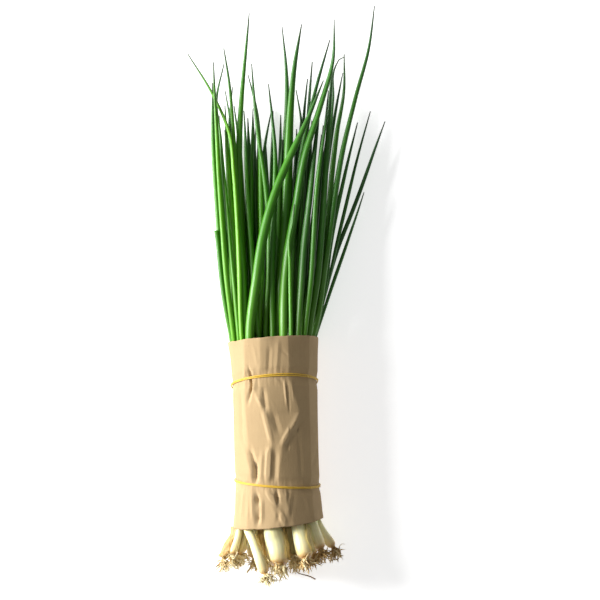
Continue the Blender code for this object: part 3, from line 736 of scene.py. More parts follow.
    def settle_leaves(self, settler: Settler) -> None:
        """Lays out each leaf from inside its neck to its tip.

        Args:
            settler: What moves the leaves apart.
        """
        heights = []
        wanted = []
        for leaf, plant in zip(self.leaves, self.owner):
            stem = self.stems[plant]
            neck_x, neck_z = stem.places[-1]
            mouth_y = leaf.way[0][1]
            upward = np.linspace(0, 1, self.leaf_points) ** 0.8
            above = mouth_y + upward * (leaf.way[-1][1] - mouth_y)
            inner = (self.leaf_foot, self.leaf_exit, (self.neck_top + mouth_y) / 2)
            own = np.concatenate([inner, above])
            x = self.smooth_way(np.maximum(own, mouth_y), leaf.way)
            z = self.room.height_for(x, own, self.leaf_radius(np.array(0), leaf.width), leaf.depth)
            in_sleeve = rising(own, self.neck_top, mouth_y - self.neck_top)
            x = neck_x + in_sleeve * (x - neck_x)
            z = neck_z + in_sleeve * (z - neck_z)
            in_neck = stem.straight(own[:2])
            x[:2] = in_neck[:, 0]
            z[:2] = in_neck[:, 2]
            heights.append(own)
            wanted.append(np.stack([x, z], axis=1))
        rows = np.stack(heights)
        same = self.owner[:, None] == self.owner[None, :]
        apart_from = np.where(same, self.sisters_part_at, self.others_part_at)
        np.fill_diagonal(apart_from, np.inf)
        pinned = np.zeros(rows.shape, bool)
        pinned[:, :2] = True

        def radii_at(k: int, levels: np.ndarray) -> np.ndarray:
            """Leaf k's radii at some levels.

            Args:
                k: The leaf's number.
                levels: Heights along the bunch.

            Returns:
                A radius for each level.
            """
            foot = rows[k, 1]
            share = rising(levels, foot, rows[k, -1] - foot)
            return self.leaf_radius(share, self.leaves[k].width)

        give = np.array(self.leaf_give)
        places = settler.settle(
            rows, np.stack(wanted), radii_at, apart_from, pinned, give, self.leaf_rounds
        )
        self.blades = [Strand(row, place) for row, place in zip(rows, places)]

    def let_down(self) -> None:
        """Lets the fan down under its weight, until its lowest leaves lie on the surface."""
        lows = np.full(len(self.plants), np.inf)
        for leaf, plant, blade in zip(self.leaves, self.owner, self.blades):
            foot, tip = blade.heights[1], blade.heights[-1]
            levels = np.arange(self.let_down_from + self.let_down_over, tip, 2.0)
            radii = self.leaf_radius((levels - foot) / (tip - foot), leaf.width)
            lows[plant] = min(lows[plant], (blade.straight(levels)[:, 2] - 0.95 * radii).min())
        drops = np.where(lows < self.lies_within, lows, lows.min())
        for index, plant in enumerate(self.owner):
            blade = self.blades[index]
            sunk = rising(blade.heights, self.let_down_from, self.let_down_over)
            lower = blade.places[:, 1] - drops[plant] * sunk**2 * (3 - 2 * sunk)
            self.blades[index] = Strand(blade.heights, np.stack([blade.places[:, 0], lower], axis=1))
        LOG.info("lowest leaves %s", np.round(lows, 2).tolist())

    def work_out(self) -> None:
        """Runs the whole rule: stems first, then leaves."""
        settler = Settler(self.room)
        self.settle_plants(settler)
        self.gather_leaves()
        self.share_out()
        self.settle_leaves(settler)
        self.let_down()


# Meshes


def linked_object(name: str, data: bpy.types.ID) -> bpy.types.Object:
    """Links a mesh, light or camera to the scene as an object.

    Args:
        name: The object's name.
        data: The mesh, light or camera.

    Returns:
        The object.
    """
    made = bpy.data.objects.new(name, data)
    bpy.context.scene.collection.objects.link(made)
    return made


class TubeMesh:
    """Collects tubes in one mesh, with a map of (around, along) and a tone for each tube."""

    def __init__(self) -> None:
        """Starts an empty mesh."""
        self.points: list[np.ndarray] = []
        self.faces: list[tuple[int, ...]] = []
        self.corners: list[tuple[float, float]] = []
        self.tones: list[np.ndarray] = []
        self.count = 0

    @staticmethod
    def ring_frames(path: np.ndarray) -> tuple[np.ndarray, np.ndarray]:
        """Sideways and upward directions along a path, with no sudden turn between them.

        Args:
            path: The points of the path.

        Returns:
            The two directions, each with a row for each point.
        """
        forward = np.gradient(path, axis=0)
        forward /= np.linalg.norm(forward, axis=1)[:, None] + 1e-12
        up = np.array((0.0, 0.0, 1.0))
        if abs(forward[0] @ up) > 0.9:
            up = np.array((0.0, 1.0, 0.0))
        ups = []
        for step in forward:
            up = up - step * (step @ up)
            up = up / np.linalg.norm(up)
            ups.append(up)
        upward = np.array(ups)
        return np.cross(forward, upward), upward

    def add(
        self,
        path: np.ndarray,
        radii: np.ndarray,
        sides: int,
        tone: float = 0.5,
        shape: np.ndarray | None = None,
        span: tuple[float, float] = (0.0, 1.0),
    ) -> None:
        """Adds a closed tube.

        Args:
            path: Its middle line, in millimetres.
            radii: Its radius at each point of the line.
            sides: How many sides it has.
            tone: Which of its material's tones it takes, from 0 to 1.
            shape: Factors on the radius, for each point and side.
            span: The map's values along the tube at its two ends.
        """
        sideways, upward = self.ring_frames(path)
        angles = np.linspace(0, 2 * math.pi, sides, endpoint=False)
        reach = radii[:, None] * (np.ones(sides) if shape is None else shape)
        rings = path[:, None] + reach[..., None] * (
            sideways[:, None] * np.cos(angles)[None, :, None]
            + upward[:, None] * np.sin(angles)[None, :, None]
        )
        rings[..., 2] = np.maximum(rings[..., 2], 0.02)
        steps = np.linalg.norm(np.diff(path, axis=0), axis=1)
        shares = np.concatenate([[0], np.cumsum(steps)]) / steps.sum()
        shares = span[0] + (span[1] - span[0]) * shares
        first = self.count
        rows = len(path)
        self.points.append(np.concatenate([rings.reshape(-1, 3), path[:1], path[-1:]]))
        self.count += rows * sides + 2
        self.tones.append(np.full(rows * sides + 2, tone))
        for row in range(rows - 1):
            low = first + row * sides
            high = low + sides
            for side in range(sides):
                after = (side + 1) % sides
                self.faces.append((low + side, high + side, high + after, low + after))
                left, right = side / sides, (side + 1) / sides
                self.corners += [(left, shares[row]), (left, shares[row + 1])]
                self.corners += [(right, shares[row + 1]), (right, shares[row])]
        last = first + (rows - 1) * sides
        start_middle = first + rows * sides
        for side in range(sides):
            after = (side + 1) % sides
            left, right = side / sides, (side + 1) / sides
            self.faces.append((start_middle, first + side, first + after))
            self.corners += [(left, shares[0]), (left, shares[0]), (right, shares[0])]
            self.faces.append((start_middle + 1, last + after, last + side))
            self.corners += [(right, shares[-1]), (right, shares[-1]), (left, shares[-1])]

    def make(self, name: str) -> bpy.types.Object:
        """Makes the mesh object.

        Args:
            name: The piece's name.

        Returns:
            The object, smooth and linked to the scene.
        """
        points = np.concatenate(self.points) * MM
        mesh = bpy.data.meshes.new(name)
        mesh.from_pydata(points.tolist(), [], self.faces)
        layer = mesh.uv_layers.new(name="around_along")
        layer.data.foreach_set("uv", np.array(self.corners, np.float32).ravel())
        tone = mesh.attributes.new("tone", "FLOAT", "POINT")
        tone.data.foreach_set("value", np.concatenate(self.tones).astype(np.float32))
        mesh.shade_smooth()
        return linked_object(name, mesh)


def sheet_object(
    name: str, points: np.ndarray, values: np.ndarray, called: str, thickness: float
) -> bpy.types.Object:
    """Makes a thin sheet from a grid of points.

    Args:
        name: The piece's name.
        points: Points (rows, columns, 3) in millimetres.
        values: A value for each point that the material reads.
        called: The values' name.
        thickness: How thick it is, inwards of the points, in millimetres.

    Returns:
        The object, smooth and linked to the scene.
    """
    rows, columns = points.shape[:2]
    index = np.arange(rows * columns).reshape(rows, columns)
    faces = np.stack([index[:-1, :-1], index[1:, :-1], index[1:, 1:], index[:-1, 1:]], axis=-1)
    mesh = bpy.data.meshes.new(name)
    mesh.from_pydata((points.reshape(-1, 3) * MM).tolist(), [], faces.reshape(-1, 4).tolist())
    attribute = mesh.attributes.new(called, "FLOAT", "POINT")
    attribute.data.foreach_set("value", values.ravel().astype(np.float32))
    mesh.shade_smooth()
    made = linked_object(name, mesh)
    made.modifiers.new("thickness", "SOLIDIFY").thickness = thickness * MM
    return made


def place_piece(
    piece: bpy.types.Object, material: bpy.types.Material, slot: Slot, *nodes: str
) -> None:
    """Gives a piece its material, and lets it ride on the bunch in place of its nodes.

    Args:
        piece: The piece.
        material: Its material.
        slot: The slot of the record that it takes; not used.
        nodes: The solids that it stands for, if any.
    """
    piece.data.materials.append(material)
    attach(piece, "root")
    if nodes:
        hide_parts(*nodes)
    LOG.info("%s: %d faces", piece.name, len(piece.data.polygons))


# Materials


class Wire:
    """One output of a shader tree, with arithmetic that adds Math nodes."""

    def __init__(self, tree: bpy.types.NodeTree, socket: bpy.types.NodeSocket) -> None:
        """Wraps a socket of a tree."""
        self.tree = tree
        self.socket = socket

    def math(self, operation: str, *values: "Wire | float") -> "Wire":
        """One Math node.

        Args:
            operation: The node's operation.
            values: What goes into it, in order.

        Returns:
            Its output.
        """
        node = self.tree.nodes.new("ShaderNodeMath")
        node.operation = operation
        for socket, value in zip(node.inputs, values):
            if isinstance(value, Wire):
                self.tree.links.new(value.socket, socket)
            else:
                socket.default_value = value
        return Wire(self.tree, node.outputs[0])

    def __add__(self, other: "Wire | float") -> "Wire":
        """The sum."""
        return self.math("ADD", self, other)

    __radd__ = __add__

    def __sub__(self, other: "Wire | float") -> "Wire":
        """The difference."""
        return self.math("SUBTRACT", self, other)

    def __rsub__(self, other: "Wire | float") -> "Wire":
        """The difference from a number."""
        return self.math("SUBTRACT", other, self)

    def __mul__(self, other: "Wire | float") -> "Wire":
        """The product."""
        return self.math("MULTIPLY", self, other)

    __rmul__ = __mul__

    def __pow__(self, other: "Wire | float") -> "Wire":
        """The power."""
        return self.math("POWER", self, other)

    def sine(self) -> "Wire":
        """The sine."""
        return self.math("SINE", self)

    def clipped(self) -> "Wire":
        """The value held between 0 and 1."""
        return self.math("MINIMUM", self.math("MAXIMUM", self, 0.0), 1.0)

    def rise(self, low: float, high: float) -> "Wire":
        """0 below low, 1 above high, and straight between them."""
        return ((self - low) * (1.0 / (high - low))).clipped()


class Finish:
    """A material under a Principled shader."""

    def __init__(self, name: str, **constants: Any) -> None:
        """Starts a material.

        Args:
            name: The material's name.
            constants: Values of the shader's sockets that are the same all over, by plain name.
        """
        self.material = bpy.data.materials.new(name)
        self.material.use_nodes = True
        self.tree = self.material.node_tree
        self.tree.nodes.clear()
        self.shader = self.tree.nodes.new("ShaderNodeBsdfPrincipled")
        output = self.tree.nodes.new("ShaderNodeOutputMaterial")
        self.tree.links.new(self.shader.outputs[0], output.inputs["Surface"])
        for socket, value in constants.items():
            self.shader.inputs[self.plain(socket)].default_value = value

    @staticmethod
    def plain(socket: str) -> str:
        """The shader's own name for a socket."""
        return "IOR" if socket == "ior" else socket.replace("_", " ").title()

    def node(
        self,
        kind: str,
        settings: dict[str, Any] | None = None,
        inputs: dict[str | int, Any] | None = None,
        output: str | int = 0,
    ) -> Wire:
        """Adds any node.

        Args:
            kind: The node's type.
            settings: Its settings, set first; stops are a ramp's (place, colour) pairs.
            inputs: Values or wires for its sockets, by name or number.
            output: Which output to return.

        Returns:
            That output.
        """
        node = self.tree.nodes.new(kind)
        for name, value in (settings or {}).items():
            if name == "stops":
                elements = node.color_ramp.elements
                while len(elements) < len(value):
                    elements.new(0.5)
                for element, (place, colour) in zip(elements, value):
                    element.position = place
                    element.color = (*colour, 1.0)
            else:
                setattr(node, name, value)
        for name, value in (inputs or {}).items():
            if isinstance(value, Wire):
                self.tree.links.new(value.socket, node.inputs[name])
            else:
                node.inputs[name].default_value = value
        return Wire(self.tree, node.outputs[output])

    def noise(self, x: float, y: float, z: float, detail: float, rough: float = 0.5) -> Wire:
        """Soft noise from 0 to 1 over the piece, stretched by its own axes.

        Args:
            x: How many units of noise a metre has across.
            y: How many it has along.
            z: How many it has upward.
            detail: How many finer layers it has.
            rough: How strong each finer layer is.

        Returns:
            The noise.
        """
        place = self.node("ShaderNodeTexCoord", output="Object")
        where = self.node("ShaderNodeMapping", inputs={"Vector": place, "Scale": (x, y, z)})
        inputs = {"Vector": where, "Scale": 1.0, "Detail": detail, "Roughness": rough}
        return self.node("ShaderNodeTexNoise", inputs=inputs)

    def mix(self, share: Wire | float, low: Any, high: Any) -> Wire:
        """A colour between two colours.

        Args:
            share: How much of the second colour it takes.
            low: The first colour.
            high: The second colour.

        Returns:
            The mixed colour.
        """
        ends = [value if isinstance(value, Wire) else (*value, 1.0) for value in (low, high)]
        inputs = {0: share, 6: ends[0], 7: ends[1]}
        return self.node("ShaderNodeMix", {"data_type": "RGBA"}, inputs, 2)

    def layered(self, colour: Wire, *layers: tuple[Wire, tuple[float, float, float]]) -> Wire:
        """A colour with thin layers of other colours over it, each by its share.

        Args:
            colour: The colour below.
            layers: The share and the colour of each layer, in order.

        Returns:
            The colour on top.
        """
        for share, over in layers:
            colour = self.mix(share, colour, over)
        return colour

    def map_part(self, axis: str) -> Wire:
        """One part of the map that runs around and along a tube: X is around, Y is along."""
        where = self.node("ShaderNodeUVMap", {"uv_map": "around_along"})
        return self.node("ShaderNodeSeparateXYZ", inputs={0: where}, output=axis)

    def attribute(self, name: str) -> Wire:
        """A value that the mesh carries."""
        return self.node("ShaderNodeAttribute", {"attribute_name": name}, output="Fac")

    def feed(self, **wires: Wire) -> None:
        """Joins wires to the shader's sockets, by plain name."""
        for socket, wire in wires.items():
            self.tree.links.new(wire.socket, self.shader.inputs[self.plain(socket)])

    def bump(self, height: Wire, strength: float, distance: float) -> None:
        """Lets a height tilt the surface.

        Args:
            height: The height, in shares of the distance.
            strength: How strongly it shows.
            distance: What a height of 1 stands for, in millimetres.
        """
        inputs = {"Height": height, "Strength": strength, "Distance": distance * MM}
        self.feed(normal=self.node("ShaderNodeBump", inputs=inputs))


def leaf_finish() -> bpy.types.Material:
    """Waxy green leaf: fine ribs along it, a paler foot, a bloom, and a withered tip.

    Returns:
        Its material.
    """
    finish = Finish("scallion_leaf", ior=1.42)
    along = finish.map_part("Y")
    around = finish.map_part("X")
    tone = finish.attribute("tone")
    streaks = finish.noise(700, 14, 700, detail=4)
    patches = finish.noise(60, 22, 60, detail=2)
    stops = (
        (0.0, (0.007, 0.045, 0.005)),
        (0.45, (0.028, 0.155, 0.005)),
        (0.75, (0.075, 0.300, 0.006)),
        (1.0, (0.140, 0.430, 0.008)),
    )
    # The tone runs from dark to light green; besides each leaf's random tone it carries painted light on the
    # left and painted shade deep in the fan.
    fresh = finish.node("ShaderNodeValToRGB", {"stops": stops}, {0: tone})
    withered = finish.layered(
        fresh,
        ((streaks - 0.35) * 0.7, (0.030, 0.150, 0.008)),
        ((1 - along.rise(0.16, 0.50)) * 0.42, (0.170, 0.400, 0.020)),
        (patches.rise(0.45, 0.8) * 0.16, (0.150, 0.360, 0.090)),
        (along.rise(0.78, 0.96) * 0.60, (0.026, 0.075, 0.034)),
        (along.rise(0.93, 0.99) * 0.70, (0.070, 0.070, 0.052)),
    )
    ribs = (around * (26 * 2 * math.pi)).sine() * 0.5 + 0.5
    rough = (0.30 + streaks * 0.18 + along.rise(0.9, 1.0) * 0.25).clipped()
    finish.feed(base_color=withered, roughness=rough)
    finish.bump(ribs * 0.5 + streaks * 0.6, 0.35, 0.12)
    return finish.material


def bulb_finish() -> bpy.types.Material:
    """Moist white bulb: veins along it, a green-yellow shank and a tan ring above the roots.

    Returns:
        Its material.
    """
    depths = (0.004, 0.0035, 0.002)
    moist = {"subsurface_weight": 0.45, "subsurface_scale": 0.4, "subsurface_radius": depths}
    finish = Finish("scallion_bulb", ior=1.42, coat_roughness=0.18, **moist)
    along = finish.map_part("Y")
    around = finish.map_part("X")
    tone = finish.attribute("tone")
    fine = finish.noise(900, 40, 900, detail=4)
    patches = finish.noise(110, 60, 110, detail=3)
    veins = ((around * (18 * 2 * math.pi) + fine * 1.6).sine() * 0.5 + 0.5) ** 6.0
    ringed = finish.layered(
        finish.mix(patches, (0.90, 0.83, 0.43), (0.95, 0.90, 0.60)),
        (along.rise(0.15, 0.50) * (0.15 + tone * 0.55), (0.60, 0.61, 0.10)),
        (veins * 0.30, (0.62, 0.60, 0.26)),
        (patches.rise(0.56, 0.75) * 0.45, (0.70, 0.50, 0.18)),
        ((1 - along.rise(0.01, 0.13)) * 0.55, (0.78, 0.50, 0.17)),
        ((1 - along.rise(0.0, 0.035)) * 0.9, (0.48, 0.25, 0.08)),
    )
    finish.feed(base_color=ringed, roughness=(0.26 + fine * 0.2).clipped(), coat_weight=0.25 + fine * 0.1)
    finish.bump(fine * 0.7 - veins * 0.5, 0.4, 0.15)
    return finish.material


def skin_finish() -> bpy.types.Material:
    """Dry outer skin of a scallion: papery, tan to olive, streaked along its length.

    Returns:
        Its material.
    """
    finish = Finish("dry_skin")
    tone = finish.attribute("tone")
    streaks = finish.noise(900, 60, 900, detail=5)
    dry = finish.mix(tone, (0.36, 0.19, 0.045), (0.46, 0.42, 0.13))
    streaked = finish.mix(streaks.rise(0.35, 0.7) * 0.8, dry, (0.68, 0.50, 0.20))
    finish.feed(base_color=streaked, roughness=0.5 + streaks * 0.2)
    finish.bump(streaks, 0.6, 0.2)
    return finish.material


def root_finish() -> bpy.types.Material:
    """Dry root fibre: brown, straw or cream, with soil-dark patches.

    Returns:
        Its material.
    """
    finish = Finish("root_fibre")
    tone = finish.attribute("tone")
    stops = ((0.0, (0.20, 0.105, 0.035)), (0.4, (0.52, 0.34, 0.12)), (1.0, (0.86, 0.76, 0.46)))
    colour = finish.node("ShaderNodeValToRGB", {"stops": stops}, {0: tone})
    grain = finish.noise(420, 420, 420, detail=4)
    dirty = finish.mix(grain.rise(0.5, 0.75) * 0.55, colour, (0.24, 0.13, 0.05))
    finish.feed(base_color=dirty, roughness=0.62 + grain * 0.25)
    finish.bump(grain, 0.5, 0.15)
    return finish.material


def paper_finish() -> bpy.types.Material:
    """Brown kraft paper: fibres, faint lines of its making, creases worn pale, and painted shade that darkens
    the deepest pressed-in folds.

    Returns:
        Its material.
    """
    finish = Finish("kraft_paper")
    clouds = finish.noise(45, 45, 45, detail=4)
    lines = finish.noise(1500, 16, 1500, detail=3)
    fibres = finish.noise(2600, 500, 2600, detail=4, rough=0.7)
    flecks = finish.noise(1300, 420, 1300, detail=2)
    # Above 0 it is wear on the creases' flanks; below 0 it is painted shade in the deepest pressed-in folds.
    wear = finish.attribute("wear")
    crinkles = finish.noise(230, 80, 230, detail=5, rough=0.6)
    shaded = finish.layered(
        finish.mix(clouds, (0.375, 0.258, 0.128), (0.470, 0.330, 0.168)),
        ((lines - 0.3) * 0.5, (0.33, 0.22, 0.10)),
        (fibres.rise(0.52, 0.72) * 0.22, (0.56, 0.42, 0.235)),
        (flecks.rise(0.68, 0.76) * 0.4, (0.28, 0.17, 0.08)),
        (wear.rise(0.2, 1.0) * 0.25, (0.60, 0.46, 0.27)),
        # Painted shade: the deepest pressed-in folds are darkened, standing in for the shade inside them.
        ((0 - wear).rise(0.1, 1.0) * 0.8, (0.10, 0.062, 0.026)),
    )
    finish.feed(base_color=shaded, roughness=0.72 + fibres * 0.2)
    finish.bump(fibres * 0.15 + lines * 0.15 + crinkles * 0.7, 0.5, 0.55)
    return finish.material


def band_finish() -> bpy.types.Material:
    """Yellow elastic: slightly dusty, with a soft gloss.

    Returns:
        Its material.
    """
    finish = Finish("elastic_band")
    dust = finish.noise(900, 900, 900, detail=3)
    colour = finish.mix(dust, (0.58, 0.35, 0.025), (0.72, 0.47, 0.06))
    finish.feed(base_color=colour, roughness=0.38 + dust * 0.25)
    finish.bump(dust, 0.3, 0.06)
    return finish.material


def floor_finish() -> bpy.types.Material:
    """Pale studio floor that glows a little: painted light that lifts the shadows cast on it.

    Returns:
        Its material.
    """
    # Painted light: the floor's glow lifts the shadows cast on it and lights the bunch from below.
    painted_floor_glow = {"emission_color": (1.0, 1.0, 1.0, 1.0), "emission_strength": 0.62}
    finish = Finish("pale_floor", roughness=0.8, **painted_floor_glow)
    soft = finish.noise(3, 3, 3, detail=1)
    finish.feed(base_color=finish.mix(soft, (0.90, 0.90, 0.90), (0.92, 0.92, 0.92)))
    return finish.material


# The pieces


@dataclass(frozen=True)
class Fold:
    """A crease of the paper: its two ends (x, y), how high it stands, and its half-width."""

    start: tuple[float, float]
    end: tuple[float, float]
    height: float
    reach: float


@dataclass
class PaperSleeve:
    """The kraft sheet, with the creases of paper that has been wrapped and squeezed.

    Its long creases lie at the angles of corners, in degrees, but those in led follow a way
    (along, across) over the front.
    """

    form: SleeveForm = SleeveForm()
    sheet: float = 0.3
    rows: int = 164
    columns: int = 286
    dense: tuple[float, float] = (math.radians(30), math.radians(150))
    thinned: float = 0.45
    crispness: float = 1.35
    overlap: float = math.radians(33)
    wrap_radius: float = 29.0
    widest_face: float = math.radians(44)
    pleat_reach: float = 5.5
    band_reach: float = 3.2
    rim_from: float = 54.0
    rim_over: float = 10.0
    rim_loose_over: float = 9.0
    side_fades_over: float = 0.35
    lies_flat: tuple[float, float] = (2.5, 4.0)
    # How deep a pressed-in fold must be to get painted shade, from none to full.
    painted_shade_depths: tuple[float, float] = (1.1, 1.3)
    seed: int = 5
    crumples: int = 150
    pleat: float = 0.14
    flat_share: float = 0.85
    corners: tuple[float, ...] = (40, 70, 107, 131, 163, 198, 342, 372, 400, 434)
    led: dict[int, tuple[tuple[float, float], ...]] = field(
        default_factory=lambda: {
            1: (
                (-66, 11.5), (-58, 9.0), (-50, 6.5), (-42, 4.5), (-36, 0.5), (-28, 1.0), (-19, 2.6),
                (-8, 4.5), (0, 9.0), (7, 13.5), (14.7, 17.0), (22, 15.0), (30, 12.5), (38, 10.8), (70, 10.2),
            ),
            2: (
                (-66, 0.5), (-56, -2.0), (-46, -6.0), (-36, -8.2), (-26, -7.0), (-18, -5.5), (-10, -3.4),
                (-3, -2.6), (4, -3.4), (12, -6.0), (20, -8.6), (30, -9.4), (70, -9.4),
            ),
        }
    )
    front_folds: tuple[Fold, ...] = rows_of(
        Fold,
        ((-19.0, 46.5), (-16.8, 37.0), -1.5, 1.3),
        ((-17.5, 42.0), (-16.5, 30.5), -2.6, 1.1),
        ((-16.4, 35.5), (-18.1, 25.5), -2.6, 1.1),
        ((-17.6, 29.5), (-19.4, 20.0), -1.3, 1.7),
        ((-15.0, 38.0), (-15.6, 27.0), 0.7, 1.3),
        ((-15.4, 44.0), (-14.0, 27.0), 0.9, 2.4),
        ((-21.5, 46.0), (-20.5, 30.0), 0.6, 2.0),
        ((-14.5, 29.0), (-8.5, 17.0), 0.6, 2.2),
        ((-9.0, 33.0), (-6.6, 12.0), -0.9, 2.8),
        ((6.2, 38.5), (8.4, 18.5), 0.5, 1.2),
        ((8.8, 37.8), (10.6, 12.0), -0.8, 1.1),
        ((11.4, 37.8), (13.2, 19.5), 0.5, 1.2),
        ((17.5, 14.7), (3.8, -9.4), 0.9, 2.6),
        ((20.5, 11.0), (8.0, -13.0), -0.7, 3.0),
        ((-8.8, 18.2), (-2.4, -7.7), 0.8, 2.6),
        ((-2.4, 16.0), (3.0, -2.0), -0.6, 3.4),
        ((-19.2, -9.1), (-14.4, -26.6), -1.5, 3.2),
        ((-14.4, -18.0), (-14.0, -37.0), -1.8, 2.8),
        ((-9.2, -12.0), (-10.4, -36.0), 0.5, 2.4),
        ((-4.2, -7.8), (-5.4, -35.0), 0.9, 3.0),
        ((0.0, -10.0), (-0.8, -35.0), -0.9, 3.0),
        ((-7.0, -38.5), (2.5, -51.8), 0.9, 2.6),
        ((2.5, -51.8), (7.7, -66.0), 0.8, 2.8),
        ((1.0, -39.0), (2.2, -51.0), -1.7, 2.0),
        ((3.2, -52.5), (1.0, -64.0), -0.5, 2.4),
        ((-13.7, -40.0), (-12.0, -53.0), -1.6, 2.2),
        ((-12.0, -53.0), (-13.2, -66.0), -1.3, 2.4),
        ((-16.4, -40.0), (-16.0, -62.0), 0.7, 2.0),
        ((-9.4, -44.0), (-9.8, -64.0), 0.5, 2.2),
        ((19.3, -30.8), (19.3, -38.5), 0.4, 1.0),
        ((7.7, -39.2), (7.9, -46.0), 0.5, 1.1),
        ((9.6, -39.2), (9.2, -47.0), -0.6, 1.2),
        ((16.0, 8.0), (19.0, -31.0), -0.7, 2.2),
        ((2.5, 66.0), (0.5, 40.0), 0.3, 2.6),
        ((-4.0, 62.0), (-5.0, 40.0), -0.4, 2.4),
        ((-24.8, 30.0), (-23.4, -8.0), -0.4, 2.0),
        ((-22.5, -38.0), (-24.4, -62.0), 0.4, 2.0),
        ((21.5, -42.0), (25.0, -60.0), 0.5, 2.0),
        ((14.0, -40.0), (11.0, -60.0), -0.5, 2.4),
    )

    @staticmethod
    def crease(x: np.ndarray, y: np.ndarray, fold: Fold) -> np.ndarray:
        """One fold's height.

        Args:
            x: Places across.
            y: Places along.
            fold: The fold.

        Returns:
            A tent along the fold that dies out past its ends.
        """
        start = np.array(fold.start)
        run = np.array(fold.end) - start
        length = math.hypot(*run)
        share = ((x - start[0]) * run[0] + (y - start[1]) * run[1]) / length**2
        held = np.clip(share, 0, 1)
        away = np.hypot(x - start[0] - held * run[0], y - start[1] - held * run[1])
        tent = np.clip(1 - away / fold.reach, 0, 1)
        ends = np.clip(np.minimum(held, 1 - held) * length / 6, 0.12, 1)
        return fold.height * tent**1.15 * ends

    def corner_line(self, number: int, y: np.ndarray) -> np.ndarray:
        """The wrap's angle at one long crease, which wanders along the sheet.

        Args:
            number: The crease's number.
            y: Places along.

        Returns:
            An angle for each place.
        """
        wander = 0.035 * np.sin(y / 15 + 2.1 * number)
        if number not in self.led:
            return math.radians(self.corners[number]) + wander
        ways = np.array(self.led[number])
        return np.arccos(np.interp(y, ways[:, 0], ways[:, 1]) / self.form.half_width(y))

    def facets(self, angle: np.ndarray, y: np.ndarray) -> np.ndarray:
        """How far the flat faces between the paper's long creases lie inside its round form.

        Args:
            angle: Angles of the wrap.
            y: Places along.

        Returns:
            A depth, 0 at the creases, whose lines wander a little.
        """
        depth = np.zeros(angle.shape)
        for number in range(len(self.corners) - 1):
            first = self.corner_line(number, y)
            last = self.corner_line(number + 1, y)
            share = rising(angle, first, last - first)
            wide = np.minimum(last - first, self.widest_face)
            sag = self.wrap_radius * (1 - np.cos(wide / 2))
            sag = sag * (0.85 + 0.15 * np.sin(y / 19 + 1.7 * number))
            depth += self.flat_share * sag * (1 - (2 * share - 1) ** 2)
        return depth

    @staticmethod
    def softened(depth: np.ndarray, turns: np.ndarray) -> np.ndarray:
        """Rounds the creases between the flat faces, as thick paper bends.

        Args:
            depth: A depth for each place of the sheet.
            turns: The angles of its columns.

        Returns:
            The depths, evened out across the sheet over two millimetres.
        """
        even = np.linspace(turns[0], turns[-1], 600)
        kernel = np.exp(-((np.linspace(-1, 1, 7) / 0.6) ** 2))
        kernel /= kernel.sum()
        rows = []
        for row in depth:
            dense = np.pad(np.interp(even, turns, row), 3, mode="edge")
            rows.append(np.interp(turns, even, np.convolve(dense, kernel, mode="valid")))
        return np.array(rows)

    def random_folds(self, turn_length: float) -> list[Fold]:
        """Small seeded folds all round the wrap, in (way round, along).

        Args:
            turn_length: How long the wrap is.

        Returns:
            The folds.
        """
        draw = np.random.default_rng(self.seed)
        folds = []
        for _ in range(self.crumples):
            middle = np.array((draw.uniform(0, turn_length), draw.uniform(-66, 68)))
            lean = draw.normal(0, 0.45)
            half = draw.uniform(3.5, 11.0) * np.array((math.sin(lean), math.cos(lean)))
            height = draw.choice((-1, 1)) * draw.uniform(0.10, 0.42)
            start, end = middle - half, middle + half
            folds.append(Fold(tuple(start), tuple(end), height, draw.uniform(1.2, 3.6)))
        return folds

    def turns(self) -> np.ndarray:
        """The columns' angles round the wrap, closer together over the front.

        Returns:
            One angle for each column.
        """
        first = self.form.free_edge
        fine = np.linspace(first, first + 2 * math.pi + self.overlap, 4000)
        busy = (fine > self.dense[0]) & (fine < self.dense[1])
        crowding = np.cumsum(np.where(busy, 1.0, self.thinned))
        return np.interp(np.linspace(crowding[0], crowding[-1], self.columns), crowding, fine)

    def folded(self, angle: np.ndarray, along: np.ndarray, flat: np.ndarray) -> tuple[np.ndarray, np.ndarray]:
        """The height of the folds, pleats and wavy rims.

        Args:
            angle: Angles of the wrap.
            along: Heights before the rims' lean.
            flat: The smooth wrap's points.

        Returns:
            The height, and how deep the folds of the front are pressed in.
        """
        form = self.form
        x, y = flat[..., 0], flat[..., 1]
        way_round = (angle - form.free_edge) * self.wrap_radius
        front = rising(np.sin(angle), 0, self.side_fades_over) * (angle < form.free_edge + math.pi)
        height = np.zeros(angle.shape)
        for fold in self.front_folds:
            height += self.crispness * front * self.crease(x, y, fold)
        pressed_in = -height
        for fold in self.random_folds(self.wrap_radius * (2 * math.pi + self.overlap)):
            height += (1 - 0.45 * front) * self.crease(way_round, y, fold)
        ripple = np.sin(way_round * 0.92) + 0.8 * np.sin(way_round * 1.57 + 2)
        ripple = ripple + 0.6 * np.sin(way_round * 2.9)
        for rim in (form.lower_band, form.upper_band):
            near = np.exp(-(((along - rim.along) / self.pleat_reach) ** 2))
            height += self.pleat * near * (ripple - 0.7) * 0.5
        edges = rising(np.abs(along), self.rim_from, self.rim_over) ** 2
        height += edges * 0.35 * (np.sin(way_round * 0.21 + 1) + 0.5 * np.sin(way_round * 0.47))
        return height, pressed_in

